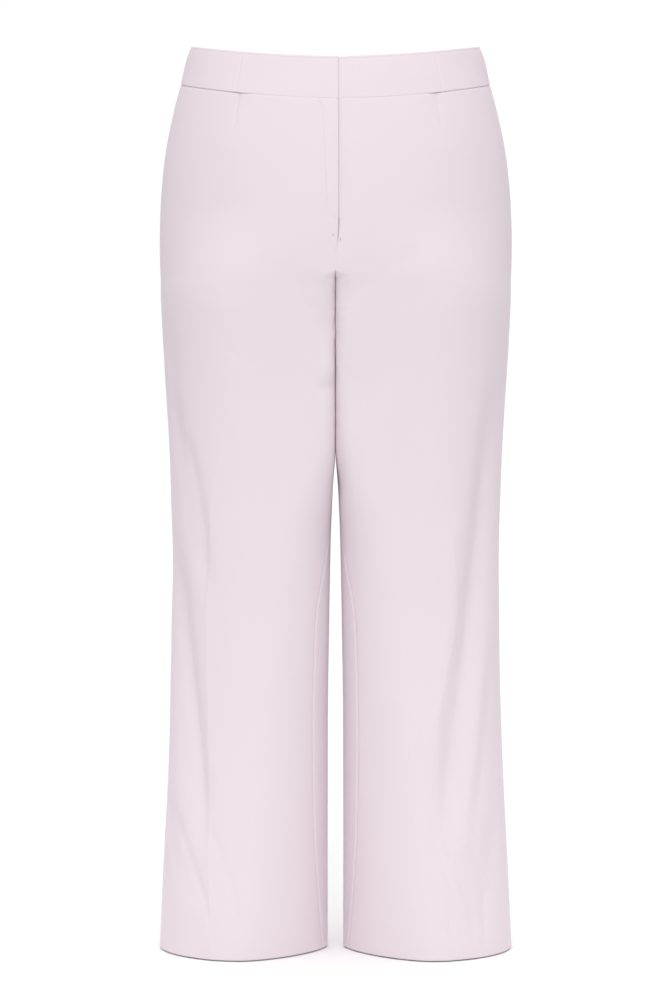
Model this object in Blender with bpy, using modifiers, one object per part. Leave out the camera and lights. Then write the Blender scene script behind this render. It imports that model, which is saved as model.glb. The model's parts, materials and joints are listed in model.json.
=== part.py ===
"""Straight-leg polyester trousers, filled out as worn, with a contoured waistband and a fly front.

Blender 4.5 script. Sizes are in millimetres and are scaled to metres as each mesh is made.
The front faces -Y, the wearer's left is +X and +Z is up. The origin is at the middle of the
waist, where the wearer holds the trousers up.
"""

from collections import namedtuple
from math import asin, atan2, cos, pi, sin

import bmesh
import bpy
import numpy as np

MM = 0.001
OUTLINE_POINTS = 320  # a section is read from this many points

# ---- driving sizes, in millimetres ----
SIDE_LENGTH = 1000.0  # waistband top to hem, down the side seam
TOP_AT_SIDE = 42.0  # the waistband's top edge at the side seam
HEM = TOP_AT_SIDE - 2.0 - SIDE_LENGTH
FRONT_DIP = 33.0  # how far the waist dips from side to centre front
BACK_RISE = 6.0
SIDE_EASE = 0.12  # how softly the dip sets in at the side
BAND_HEIGHT = 42.0
BAND_EXTRA_FRONT = 5.0  # it is this much deeper at centre front
BAND_ROWS = 4
CLOSEST_COLUMN = 2.0
BAND_SEAM_RIGHT = 105.0  # upright seams of the waistband, above the darts
BAND_SEAM_LEFT = 114.0
CLOTH = 1.2  # wall of one layer
BAND_WALL = 2.2  # the waistband is folded double
BAND_PROUD = 0.4  # it stands this far out of the cloth below it
HEM_WALL = 2.3  # the hem is turned up inside
HEM_TURN_UP = 38.0
HEM_ROWS = 3  # rows of points on the turn-up
SEAM_GAP = 0.3
HALF_GAP = SEAM_GAP / 2

# ---- crotch: the seam runs down the front, under and up the back as one U ----
FORK_FRONT = -222.0  # the front seam starts to turn under here
FORK_BACK = -160.0
CROTCH = -265.0  # lowest point, where four panels meet
CROTCH_BACK_OF_MIDDLE = 8.0
FORK_SIDE = -150.0  # height, at the side seam, of the row that meets both forks

# ---- fly ----
FLY_EDGE = 3.0  # the right front laps this far past the middle
FLY_END = -169.0
FLY_FLUSH = -205.0  # the two fronts lie level from here down
UNDERLAP = 6.0  # the left front runs this far past the middle, under the fly
BAND_UNDERLAP = 24.0
FACING_WIDTH_TOP = 30.0
FACING_WIDTH_LOW = 21.0
FACING_WALL = 0.9
FACING_DEPTH = 1.5  # below the cloth's face
FACING_EDGE = 0.4  # where its edge runs, towards the wearer's right
FACING_TOP = -44.0
FACING_END = -166.5
FACING_CURVE = 0.80  # share of its length where its J begins to curve
FACING_TOE = 0.15  # share of its width left at the J's end

# ---- zip, closed behind the fly; depths are measured inward from the cloth's face ----
ZIP_MIDDLE = 9.0  # towards the wearer's right
ZIP_TOP = -47.0
ZIP_END = -158.0
COIL_WIDTH = 4.4
COIL_DEPTH = 7.0
COIL_THICKNESS = 1.8
SLIDER_LENGTH = 10.0
TAPE_WALL = 0.5
PULL_LENGTH = 20.0
PULL_WIDTH = 4.4

# Sections of the hips, centred on the middle of the body.
Hip = namedtuple("Hip", "z half_width front back")
HIPS = (
    Hip(48.0, 156.5, 92.0, 103.0),
    Hip(25.0, 165.0, 96.0, 106.0),
    Hip(0.0, 171.2, 101.0, 110.0),
    Hip(-30.0, 179.2, 106.5, 117.0),
    Hip(-75.0, 188.5, 113.0, 127.0),
    Hip(-120.0, 193.9, 117.5, 135.0),
    Hip(-165.0, 196.0, 119.5, 138.0),
    Hip(-210.0, 195.9, 119.0, 136.0),
    Hip(-265.0, 193.6, 116.0, 128.0),
)
HIP_SQUARENESS = 2.15

# Sections of one leg. Roundness 1 has no flat inner side. Squareness 2 is an ellipse; less is a lens.
Leg = namedtuple("Leg", "z outer inner front back roundness inseam squareness")
LEGS = (
    Leg(-150.0, 195.6, HALF_GAP, 118.0, 136.0, 0.20, 8.0, 2.12),
    Leg(-210.0, 195.7, HALF_GAP, 116.0, 131.0, 0.22, 8.0, 2.12),
    Leg(-265.0, 193.2, HALF_GAP, 110.0, 116.0, 0.26, 8.0, 2.12),
    Leg(-330.0, 189.6, 0.3, 102.0, 101.0, 0.32, -6.0, 2.10),
    Leg(-410.0, 184.9, 0.6, 96.0, 92.0, 0.42, -24.0, 2.04),
    Leg(-455.0, 183.1, 2.9, 93.0, 88.0, 0.50, -36.0, 2.00),
    Leg(-500.0, 181.7, 5.1, 90.0, 85.0, 0.58, -46.0, 1.98),
    Leg(-545.0, 181.3, 6.4, 87.5, 82.5, 0.64, -53.0, 1.96),
    Leg(-590.0, 181.8, 7.3, 85.5, 81.0, 0.70, -56.0, 1.94),
    Leg(-680.0, 183.2, 8.5, 84.0, 79.5, 0.80, -51.0, 1.91),
    Leg(-765.0, 186.3, 8.6, 83.5, 78.5, 0.88, -45.0, 1.89),
    Leg(-855.0, 190.8, 8.4, 85.0, 77.5, 0.95, -37.0, 1.87),
    Leg(HEM, 195.6, 8.1, 88.0, 77.0, 1.00, -22.0, 1.85),
)

# Long soft folds of the legs. Angles go round a leg: 0 is its front, 90 its outer side,
# 180 its back and -90 its inner side. A negative depth is a trough.
Fold = namedtuple("Fold", "z_top angle_top z_low angle_low half_width depth")
FOLDS = {
    "left": (
        Fold(-300.0, 72.0, -890.0, 8.0, 12.5, -3.4),
        Fold(-560.0, 58.0, -900.0, 22.0, 12.0, 1.8),
        Fold(-300.0, -28.0, -480.0, -60.0, 9.0, -2.4),
        Fold(-800.0, 62.0, -950.0, 34.0, 9.0, -1.8),
        Fold(-250.0, 128.0, -560.0, 196.0, 14.0, -3.2),
        Fold(-480.0, 104.0, -860.0, 156.0, 13.0, -3.4),
        Fold(-640.0, 236.0, -930.0, 190.0, 12.0, -2.6),
    ),
    "right": (
        Fold(-330.0, 66.0, -580.0, 32.0, 9.0, -2.4),
        Fold(-470.0, 80.0, -870.0, 24.0, 11.0, -4.0),
        Fold(-620.0, 78.0, -900.0, 46.0, 12.0, 1.6),
        Fold(-790.0, 78.0, -915.0, 30.0, 9.0, -2.0),
        Fold(-330.0, -44.0, -420.0, -78.0, 8.0, -1.6),
        Fold(-240.0, 134.0, -520.0, 204.0, 14.0, -3.0),
        Fold(-500.0, 110.0, -890.0, 150.0, 12.0, -3.2),
        Fold(-600.0, 228.0, -900.0, 184.0, 13.0, -2.8),
    ),
}
FOLD_ENDS = 0.22  # share of a fold's length over which each end fades

# The dart and, below it, the pressed crease share one line down each front panel.
Line = namedtuple("Line", "z share")
CREASE = {  # share of the way from the inner edge of the front to the side seam
    "left": (Line(-85.0, 0.487), Line(-300.0, 0.59), Line(-590.0, 0.56), Line(-700.0, 0.455),
             Line(-800.0, 0.46), Line(-880.0, 0.505), Line(HEM, 0.53)),
    "right": (Line(-85.0, 0.455), Line(-300.0, 0.59), Line(-460.0, 0.63), Line(-560.0, 0.605),
              Line(-700.0, 0.59), Line(HEM, 0.58)),
}
DART_LENGTH = 46.0
DART_DEPTH = 0.6
CREASE_TOP = -380.0
CREASE_RISE = 1.3
CREASE_FADE = 120.0
BACK_DART_SHARE = 0.52
BACK_DART_LENGTH = 95.0

# Shares across a panel, from its inner edge to the side seam, that its columns follow.
DART_COLUMN = 0.44
FRONT_COLUMNS = (0.0, 0.02, 0.034, 0.046, 0.07, 0.12, 0.19, 0.27, 0.35, 0.432,
                 DART_COLUMN, 0.448, 0.52, 0.59, 0.66, 0.73, 0.80, 0.88, 0.94, 0.98, 1.0)
BACK_COLUMNS = (0.0, 0.03, 0.09, 0.17, 0.25, 0.33, 0.41, 0.513,
                BACK_DART_SHARE, 0.527, 0.61, 0.69, 0.77, 0.85, 0.93, 0.98, 1.0)
# Shares of the way from the waist seam to the fork; two lie close together at the fly's end.
HIP_ROWS = (0.0, 0.12, 0.24, 0.36, 0.48, 0.60, 0.704, 0.735, 0.82, 0.91)
FORK_STEPS = 6
LEG_STEPS = 24


# How deep a piece lies below the cloth's face at a distance from centre front. The left front
# and its waistband step down to pass under the right ones.
Depth = namedtuple("Depth", "distance depth")
FLY_DEPTHS = (Depth(2.4, 2.9), Depth(3.5, 2.2), Depth(18.0, 0.0))
BAND_DEPTHS = (Depth(0.0, -BAND_PROUD),)
UNDERLAP_DEPTHS = (Depth(0.8, 2.4), Depth(3.5, 2.2), Depth(18.0, -BAND_PROUD))
FACING_DEPTHS = (Depth(0.0, FACING_DEPTH),)
COIL_DEPTHS = (Depth(0.0, COIL_DEPTH),)
COIL = (ZIP_MIDDLE - COIL_WIDTH / 2, ZIP_MIDDLE + COIL_WIDTH / 2)
TAPE_RIGHT = (COIL[1] + SEAM_GAP, 20.5)
TAPE_LEFT = (-6.0, COIL[0] - SEAM_GAP)
TAPE_AT_COIL = COIL_DEPTH + 0.6
TAPE_RIGHT_DEPTHS = (Depth(TAPE_RIGHT[0], TAPE_AT_COIL), Depth(COIL[1] + 2.0, COIL_DEPTH), Depth(18.0, 2.8))
TAPE_LEFT_DEPTHS = (Depth(-1.0, 4.6), Depth(COIL[0] - 2.0, COIL_DEPTH), Depth(TAPE_LEFT[1], TAPE_AT_COIL))

# Boxes of the slider and its pull: ranges across, down the cloth and inward from its face.
Block = namedtuple("Block", "across down inward")
SLIDER_FRONT = Block((-4.0, 4.0), (0.0, SLIDER_LENGTH), (5.6, 6.6))
SLIDER_BACK = Block((-3.9, 3.9), (0.1, SLIDER_LENGTH - 0.1), (9.2, 10.2))
SLIDER_POST = Block((-1.3, 1.3), (0.4, 2.4), (5.9, 9.9))
BRIDGE = Block((-0.7, 0.7), (1.0, 6.2), (3.6, 6.1))
BRIDGE_WINDOW = Block((-2.0, 2.0), (2.0, 5.2), (4.4, 5.5))
PULL_TOP = 4.1
PULL_PLATE = Block((-PULL_WIDTH / 2, PULL_WIDTH / 2), (PULL_TOP, PULL_TOP + PULL_LENGTH), (4.65, 5.2))
PULL_WINDOW = Block((-1.1, 1.1), (PULL_TOP + 0.8, PULL_TOP + 3.0), (4.0, 6.0))
PULL_AXIS = (PULL_TOP + 0.4, 4.92)  # down and inward


# ---- the surface that every piece is cut from ----

def smoothstep(share):
    share = np.clip(share, 0.0, 1.0)
    return share * share * (3.0 - 2.0 * share)


def read_table(table, z):
    """The row of a table at height z, by a cubic through the rows on both sides of it."""
    heights = [row.z for row in table]
    z = min(max(z, heights[-1]), heights[0])
    low = next(i for i in range(1, len(table)) if z >= heights[i])
    rows = [np.array(table[min(max(i, 0), len(table) - 1)]) for i in (low - 2, low - 1, low, low + 1)]
    step = rows[2][0] - rows[1][0]
    t = (z - rows[1][0]) / step
    slope_in = (rows[2] - rows[0]) / (rows[2][0] - rows[0][0]) * step
    slope_out = (rows[3] - rows[1]) / (rows[3][0] - rows[1][0]) * step
    made = ((2 * t**3 - 3 * t**2 + 1) * rows[1] + (t**3 - 2 * t**2 + t) * slope_in
            + (3 * t**2 - 2 * t**3) * rows[2] + (t**3 - t**2) * slope_out)
    return table[0]._make(made)


def quadrant(start, end, squareness=2.0, count=24):
    """A quarter of a superellipse: it leaves start along X and meets end along Y. 2 is an ellipse."""
    turn = np.linspace(0.0, pi / 2, count)
    across = np.sin(turn) ** (2.0 / squareness)
    along = np.cos(turn) ** (2.0 / squareness)
    return np.stack([start[0] + (end[0] - start[0]) * across,
                     end[1] + (start[1] - end[1]) * along], axis=1)


def arc_lengths(points):
    steps = np.linalg.norm(np.diff(points, axis=0), axis=1)
    return np.concatenate([[0.0], np.cumsum(steps)])


def hip_outline(z):
    """Points of half a hip section, from centre front round the side to centre back."""
    hip = read_table(HIPS, z)
    middle = (hip.back - hip.front) / 2
    side = (hip.half_width, middle)
    front = quadrant((0.0, -hip.front), side, HIP_SQUARENESS)
    back = quadrant((0.0, hip.back), side, HIP_SQUARENESS)[::-1]
    return np.concatenate([front, back[1:]])


def crotch_seam(z, leg):
    """Where the U of the crotch seam stands at height z: its front and its back, in Y."""
    front, back = -leg.front, leg.back
    if z <= CROTCH:
        return leg.inseam, leg.inseam
    middle = CROTCH_BACK_OF_MIDDLE
    if z < FORK_FRONT:
        turn = asin((FORK_FRONT - z) / (FORK_FRONT - CROTCH))
        front = middle + (front - middle) * cos(turn)
    if z < FORK_BACK:
        turn = asin((FORK_BACK - z) / (FORK_BACK - CROTCH))
        back = middle + (back - middle) * cos(turn)
    return front, back


def leg_outline(z):
    """Points of a leg's section from the front seam round the outside to the back seam."""
    leg = read_table(LEGS, z)
    middle_x = (leg.outer + leg.inner) / 2
    middle_y = (leg.back - leg.front) / 2
    depth = (leg.back + leg.front) / 2
    seam_front, seam_back = crotch_seam(z, leg)
    room = (seam_front + leg.front, leg.back - seam_back) if z > CROTCH else (depth, depth)
    corner_y = [min(leg.roundness * depth, max(r, 0.01)) for r in room]
    corner_x = [(middle_x - leg.inner) * c / depth for c in corner_y]
    bend = 2.0 + (leg.squareness - 2.0) * leg.roundness
    front_corner = quadrant((leg.inner + corner_x[0], -leg.front), (leg.inner, corner_y[0] - leg.front), bend)
    back_corner = quadrant((leg.inner + corner_x[1], leg.back), (leg.inner, leg.back - corner_y[1]), bend)
    outer_front = quadrant((middle_x, -leg.front), (leg.outer, middle_y), leg.squareness)
    outer_back = quadrant((middle_x, leg.back), (leg.outer, middle_y), leg.squareness)
    inner_middle = (corner_y[0] - leg.front + leg.back - corner_y[1]) / 2
    start = np.array([[leg.inner, inner_middle]])
    ring = np.concatenate([start, front_corner[::-1], outer_front, outer_back[-2::-1], back_corner, start])
    along = arc_lengths(ring)
    first, last = len(front_corner) + 1, len(ring) - len(back_corner) - 1

    def place(y):
        """Distance round the ring, from its start, of the inner side's point at y."""
        if y <= inner_middle:
            return float(np.interp(-y, -ring[:first, 1], along[:first]))
        return float(np.interp(-y, -ring[last:, 1], along[last:])) - along[-1]

    begin, end = place(seam_front), place(seam_back) + along[-1]
    share = np.linspace(begin, end, OUTLINE_POINTS // 2)
    wrapped = np.mod(share, along[-1])
    return np.stack([np.interp(wrapped, along, ring[:, k]) for k in (0, 1)], axis=1)


def leg_angle(x, y, leg):
    """Degrees round a leg from its front, positive towards its outer side."""
    across = (x - (leg.outer + leg.inner) / 2) / ((leg.outer - leg.inner) / 2)
    along = -(y - (leg.back - leg.front) / 2) / ((leg.back + leg.front) / 2)
    angle = np.degrees(np.arctan2(across, along))
    return angle + 360.0 if angle < -100.0 else angle


def fold_depth(side, z, angle):
    """How far the folds lift the cloth at one point of a leg."""
    total = 0.0
    for fold in FOLDS[side]:
        share = (fold.z_top - z) / (fold.z_top - fold.z_low)
        if not 0.0 < share < 1.0:
            continue
        middle = fold.angle_top + (fold.angle_low - fold.angle_top) * share
        fade = smoothstep(share / FOLD_ENDS) * smoothstep((1.0 - share) / FOLD_ENDS)
        total += fold.depth * fade * np.exp(-(((angle - middle) / fold.half_width) ** 2))
    return total


class Section:
    """One level section of half the trousers, read by distance from its inner front edge."""

    def __init__(self, z):
        self.z = z
        turned = float(smoothstep((FORK_SIDE - z) / (FORK_SIDE - CROTCH)))
        even = np.linspace(0.0, 1.0, OUTLINE_POINTS)
        mixed, side = 0.0, 0.0
        for weight, outline in ((1.0 - turned, hip_outline), (turned, leg_outline)):
            if weight > 0.0:
                points = outline(z)
                along = arc_lengths(points)
                at = along / along[-1]
                side += weight * at[points[:, 0].argmax()]
                mixed = mixed + weight * np.stack([np.interp(even, at, points[:, k]) for k in (0, 1)], axis=1)
        self.points = mixed
        self.along = arc_lengths(mixed)
        self.side = side * self.along[-1]  # distance from the inner edge to the side seam
        self.length = self.along[-1]

    def at(self, distance, side):
        """Point at a distance from the front seam; below zero it is past centre front."""
        x, y = (float(np.interp(abs(distance), self.along, self.points[:, k])) for k in (0, 1))
        if distance < 0.0:
            return np.array([-x, y, self.z])
        if self.z < FORK_SIDE:
            leg = read_table(LEGS, self.z)
            lift = fold_depth(side, self.z, leg_angle(x, y, leg))
            out = np.array([x - (leg.outer + leg.inner) / 2, y - (leg.back - leg.front) / 2])
            x, y = np.array([x, y]) + out / np.linalg.norm(out) * lift
        return np.array([max(x, HALF_GAP), y, self.z])


def depth_at(table, distance):
    return float(np.interp(distance, [row.distance for row in table], [row.depth for row in table]))


def eased(turn):
    """Zero below zero and turn itself above it, with a soft bend between."""
    return (turn + (turn**2 + SIDE_EASE**2) ** 0.5) / 2


def band_top(share):
    """Height of the waistband's top edge; share runs from 0 at centre front to 1 at centre back."""
    turn = cos(pi * share)
    return TOP_AT_SIDE - FRONT_DIP * eased(turn) + BACK_RISE * eased(-turn)


def band_height(share):
    return BAND_HEIGHT + BAND_EXTRA_FRONT * eased(cos(pi * share))


def waist_seam(share):
    return band_top(share) - band_height(share)


# ---- rows and columns of a panel ----

def leg_heights():
    """Heights of the level rows of a leg, from just under the crotch to the hem."""
    turn_up_top = HEM + HEM_TURN_UP
    step = (turn_up_top + 2.0 - CROTCH) / LEG_STEPS
    heights = [CROTCH + step * n for n in range(1, LEG_STEPS + 1)]
    return heights + [turn_up_top, HEM + HEM_TURN_UP / 2, HEM]


def panel_heights(share, waist_share, fork):
    """Heights of every row of a panel, at one share of the way from its inner edge to the side."""
    lean = float(smoothstep(share / 0.5))
    start = waist_seam(waist_share)
    end = fork + (FORK_SIDE - fork) * lean
    heights = [start + (end - start) * down for down in HIP_ROWS]
    for step in range(FORK_STEPS + 1):
        turn = step / FORK_STEPS
        edge = fork + (CROTCH - fork) * sin(turn * pi / 2)
        heights.append(edge + (FORK_SIDE + (CROTCH - FORK_SIDE) * turn - edge) * lean)
    return heights + leg_heights()


def line_share(table, z):
    return float(np.interp(-z, [-row.z for row in table], [row.share for row in table]))


def shifted(share, middle, target):
    """Moves the column that lies at middle to target, and its neighbours with it."""
    if share < middle:
        return share * target / middle
    return 1.0 - (1.0 - share) * (1.0 - target) / (1.0 - middle)


def seam_x(z):
    """The front seam runs under the fly's edge and comes back to the middle at the fork."""
    return FLY_EDGE * float(smoothstep((z - FORK_FRONT) / (FLY_END - FORK_FRONT)))


def front_edge(side, z):
    """Distance of a front panel's inner edge from centre front; below zero it is past the middle."""
    if z <= FORK_FRONT:
        return HALF_GAP
    if side == "right":
        return HALF_GAP - seam_x(z)
    return -UNDERLAP if z > FLY_END - 1.0 else seam_x(z) + HALF_GAP


def fly_recess(distance, z):
    """How far the left front sinks to pass under the fly and its facing."""
    in_fly = float(smoothstep((z - FLY_FLUSH) / (FLY_END - FLY_FLUSH)))
    return in_fly * depth_at(FLY_DEPTHS, distance)


def lift_line(z, share, line):
    """The dart pulls its line in; lower down the pressed crease pushes it out."""
    if share != line:
        return 0.0
    if z > waist_seam(line / 2) - DART_LENGTH:
        return -DART_DEPTH
    return CREASE_RISE * float(smoothstep((CREASE_TOP - z) / CREASE_FADE))


def waist_turn(section, distance):
    """Share of the way round the waist, from centre front through the side at 0.5 to centre back."""
    if distance <= section.side:
        return 0.5 * abs(distance) / section.side
    return 0.5 + 0.5 * (distance - section.side) / (section.length - section.side)


def front_distance(section, side, share):
    edge = front_edge(side, section.z)
    moved = shifted(share, DART_COLUMN, line_share(CREASE[side], section.z))
    return edge + (section.side - HALF_GAP - edge) * moved


def back_distance(section, share):
    return section.length - HALF_GAP - (section.length - section.side - SEAM_GAP) * share


def front_panel(side):
    waist = Section(waist_seam(0.5))
    columns = []
    for share in FRONT_COLUMNS:
        column = []
        turn = waist_turn(waist, front_distance(waist, side, share))
        for z in panel_heights(share, turn, FORK_FRONT):
            section = Section(z)
            distance = front_distance(section, side, share)
            point = section.at(distance, side)
            if side == "left" and z > FORK_FRONT:
                point[1] += fly_recess(distance, z)
            out = point[:2] - (0.5 * read_table(LEGS, z).outer, 0.0)
            point[:2] += out / np.linalg.norm(out) * lift_line(z, share, DART_COLUMN)
            column.append(point)
        columns.append(column)
    return flipped(np.array(columns).transpose(1, 0, 2), side)


def back_panel(side):
    waist = Section(waist_seam(0.5))
    columns = []
    for share in BACK_COLUMNS:
        column = []
        turn = waist_turn(waist, back_distance(waist, share))
        for z in panel_heights(share, turn, FORK_BACK):
            section = Section(z)
            point = section.at(back_distance(section, share), side)
            if share == BACK_DART_SHARE and z > waist_seam(turn) - BACK_DART_LENGTH:
                point[1] -= DART_DEPTH
            column.append(point)
        columns.append(column)
    return flipped(np.array(columns).transpose(1, 0, 2), side)


def flipped(grid, side):
    """The right half is the left one's mirror image."""
    return grid * (-1.0, 1.0, 1.0) if side == "right" else grid


# ---- pieces cut from the same surface: waistband, fly facing and zip ----

def sunk(z, distance, depth):
    """A point of the surface at a distance from the front seam, moved in by depth."""
    section = Section(z)
    before, after = section.at(distance - 1.0, "left"), section.at(distance + 1.0, "left")
    along = (after - before)[:2] / np.linalg.norm((after - before)[:2])
    return section.at(distance, "left") - np.array([along[1], -along[0], 0.0]) * depth


def band_piece(side, distances, depths=BAND_DEPTHS):
    """A length of the waistband over distances measured along its lower edge."""
    waist = Section(waist_seam(0.5))
    grid = []
    for height in np.linspace(1.0, 0.0, BAND_ROWS):
        row = []
        for distance in distances:
            turn = waist_turn(waist, distance)
            z = waist_seam(turn) + SEAM_GAP + (band_height(turn) - SEAM_GAP) * height
            section = Section(z)
            at = distance * section.side / waist.side
            if turn > 0.5:
                at = section.side + (section.length - section.side) * (2.0 * turn - 1.0)
            row.append(sunk(z, at, depth_at(depths, distance)))
        grid.append(row)
    return flipped(np.array(grid), side)


def band_marks(side, start, end):
    """Distances of a band's columns: those of the panels below it, and its own two ends."""
    waist = Section(waist_seam(0.5))
    below = [front_distance(waist, side, share) for share in FRONT_COLUMNS]
    below += sorted(back_distance(waist, share) for share in BACK_COLUMNS)
    return [start] + [d for d in below if start + CLOSEST_COLUMN < d < end - CLOSEST_COLUMN] + [end]


def strip(heights, edges, depth_table, steps):
    """A piece behind the right front: edges gives its two distances from centre front at z."""
    grid = []
    for z in heights:
        start, end = edges(z)
        grid.append([sunk(z, d, depth_at(depth_table, d)) for d in np.linspace(start, end, steps)])
    return flipped(np.array(grid), "right")


def facing_edges(z):
    """The facing's J: it narrows down the fly and curves in to the fly's edge at the bottom."""
    down = (FACING_TOP - z) / (FACING_TOP - FACING_END)
    width = FACING_WIDTH_TOP + (FACING_WIDTH_LOW - FACING_WIDTH_TOP) * min(down / FACING_CURVE, 1.0)
    if down > FACING_CURVE:
        turn = (down - FACING_CURVE) / (1.0 - FACING_CURVE)
        width *= FACING_TOE + (1.0 - FACING_TOE) * max(1.0 - turn**2, 0.0) ** 0.5
    return FACING_EDGE, width


# ---- solids ----

def new_material(name, colour, roughness, metallic=0.0):
    material = bpy.data.materials.new(name)
    material.use_nodes = True
    shader = material.node_tree.nodes["Principled BSDF"]
    shader.inputs["Base Color"].default_value = (*colour, 1.0)
    shader.inputs["Roughness"].default_value = roughness
    shader.inputs["Metallic"].default_value = metallic
    return material


def add_object(name, mesh, material):
    obj = bpy.data.objects.new(name, mesh)
    bpy.context.scene.collection.objects.link(obj)
    mesh.materials.append(material)
    return obj


def add_shell(name, grid, wall, colour, flip=False, thick_rows=0, thick_wall=0.0):
    """A closed wall behind an open grid of outer points; its last thick_rows rows can be thicker."""
    rows, columns = grid.shape[:2]
    points = [tuple(point * MM) for point in grid.reshape(-1, 3)]
    faces = []
    for i in range(rows - 1):
        for j in range(columns - 1):
            a, b = i * columns + j, (i + 1) * columns + j
            faces.append((a, a + 1, b + 1, b) if flip else (a, b, b + 1, a + 1))
    mesh = bpy.data.meshes.new(name)
    mesh.from_pydata(points, [], faces)
    obj = add_object(name, mesh, new_material(name, colour, 0.8))
    shell = obj.modifiers.new("Wall", "SOLIDIFY")
    shell.thickness = max(wall, thick_wall) * MM
    shell.offset = -1.0
    shell.use_even_offset = True
    shell.use_quality_normals = True
    if thick_rows:
        group = obj.vertex_groups.new(name="Double")
        first = (rows - thick_rows) * columns
        group.add(list(range(first, rows * columns)), 1.0, "REPLACE")
        shell.vertex_group = "Double"
        shell.thickness_vertex_group = wall / thick_wall
    return obj


def add_box(name, block, colour, origin=(0.0, 0.0)):
    """A box in the slider's own axes: X across, Y inward and Z up the cloth, from origin."""
    ranges = (block.across, [w - origin[1] for w in block.inward], [origin[0] - v for v in block.down])
    box = bmesh.new()
    bmesh.ops.create_cube(box, size=1.0)
    bmesh.ops.scale(box, verts=box.verts, vec=[abs(r[1] - r[0]) * MM for r in ranges])
    bmesh.ops.translate(box, verts=box.verts, vec=[(r[0] + r[1]) / 2 * MM for r in ranges])
    mesh = bpy.data.meshes.new(name)
    box.to_mesh(mesh)
    box.free()
    return add_object(name, mesh, new_material(name, colour, 0.35, 1.0))


def combine(obj, block, operation, origin=(0.0, 0.0)):
    """Joins a box to obj, or cuts it out. The box stays as a hidden guide."""
    guide = add_box(f"{obj.name}_guide", block, (0.5, 0.5, 0.5), origin)
    guide.parent = obj
    guide.hide_render = True
    guide.display_type = "WIRE"
    step = obj.modifiers.new(operation.title(), "BOOLEAN")
    step.operation = operation
    step.object = guide


def add_zip_slider(frame, colour):
    slider = add_box("zip_slider", SLIDER_FRONT, colour)
    combine(slider, SLIDER_POST, "UNION")
    combine(slider, SLIDER_BACK, "UNION")
    combine(slider, BRIDGE, "UNION")
    combine(slider, BRIDGE_WINDOW, "DIFFERENCE")
    slider.parent = frame


def add_zip_pull(frame, colour):
    """The pull hangs from the slider's bridge, and its origin is on the hinge's axis."""
    pull = add_box("zip_pull", PULL_PLATE, colour, PULL_AXIS)
    combine(pull, PULL_WINDOW, "DIFFERENCE", PULL_AXIS)
    pull.parent = frame
    pull.location = (0.0, PULL_AXIS[1] * MM, -PULL_AXIS[0] * MM)


def slider_frame():
    """An empty on the right front's face, leaning with the cloth, that the slider's pieces hang from."""
    here, below = sunk(ZIP_TOP, ZIP_MIDDLE, 0.0), sunk(ZIP_TOP - SLIDER_LENGTH, ZIP_MIDDLE, 0.0)
    frame = bpy.data.objects.new("zip_frame", None)
    bpy.context.scene.collection.objects.link(frame)
    frame.location = here * (-1.0, 1.0, 1.0) * MM
    frame.rotation_euler = (atan2(below[1] - here[1], here[2] - below[2]), 0.0, 0.0)
    return frame


def add_panels(colour):
    for side in ("left", "right"):
        mirrored = side == "right"
        add_shell(f"front_{side}", front_panel(side), CLOTH, colour, mirrored, HEM_ROWS, HEM_WALL)
        add_shell(f"back_{side}", back_panel(side), CLOTH, colour, not mirrored, HEM_ROWS, HEM_WALL)


def add_waistband(colour):
    waist = Section(waist_seam(0.5))
    seam = {"left": BAND_SEAM_LEFT, "right": BAND_SEAM_RIGHT}
    lap = {"left": [-BAND_UNDERLAP, -8.0, 0.8, 3.5], "right": [HALF_GAP - FLY_EDGE]}
    for side in ("left", "right"):
        marks = lap[side] + band_marks(side, lap[side][-1], seam[side] - HALF_GAP)[1:]
        depths = UNDERLAP_DEPTHS if side == "left" else BAND_DEPTHS
        grid = band_piece(side, marks, depths)
        add_shell(f"waistband_front_{side}", grid, BAND_WALL, colour, side == "right")
        grid = band_piece(side, band_marks(side, seam[side] + HALF_GAP, waist.side - HALF_GAP))
        add_shell(f"waistband_side_{side}", grid, BAND_WALL, colour, side == "right")
    left = band_piece("left", band_marks("left", waist.side + HALF_GAP, waist.length))
    right = flipped(left, "right")[:, ::-1]
    add_shell("waistband_back", np.concatenate([left, right[:, 1:]], axis=1), BAND_WALL, colour)


def add_facing(colour):
    curve = FACING_TOP + (FACING_END - FACING_TOP) * FACING_CURVE
    heights = list(np.linspace(FACING_TOP, curve, 9))
    heights += [curve + (FACING_END - curve) * share for share in (0.4, 0.7, 0.9, 1.0)]
    add_shell("fly_facing", strip(heights, facing_edges, FACING_DEPTHS, 6), FACING_WALL, colour, True)


def add_zip_strips(colour):
    """The coil ends inside the slider. Each tape runs from the coil to the cloth that holds it."""
    rows = np.linspace(ZIP_TOP - SLIDER_LENGTH / 2, ZIP_END, 9)
    add_shell("zip_coil", strip(rows, lambda z: COIL, COIL_DEPTHS, 3), COIL_THICKNESS, colour, True)
    rows = np.linspace(ZIP_TOP - SLIDER_LENGTH, ZIP_END - 4.0, 8)
    right = strip(rows, lambda z: TAPE_RIGHT, TAPE_RIGHT_DEPTHS, 6)
    add_shell("zip_tape_right", right, TAPE_WALL, colour, True)
    left = strip(rows, lambda z: TAPE_LEFT, TAPE_LEFT_DEPTHS, 6)
    add_shell("zip_tape_left", left, TAPE_WALL, colour, True)


def main():
    for obj in list(bpy.data.objects):
        bpy.data.objects.remove(obj)
    cloth, tape, metal = (0.80, 0.74, 0.78), (0.72, 0.66, 0.70), (0.55, 0.54, 0.56)
    add_panels(cloth)
    add_waistband(cloth)
    add_facing(cloth)
    add_zip_strips(tape)
    frame = slider_frame()
    add_zip_slider(frame, metal)
    add_zip_pull(frame, metal)


main()
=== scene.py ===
import json
from math import atan2, cos, pi, radians, sin, sqrt

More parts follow.
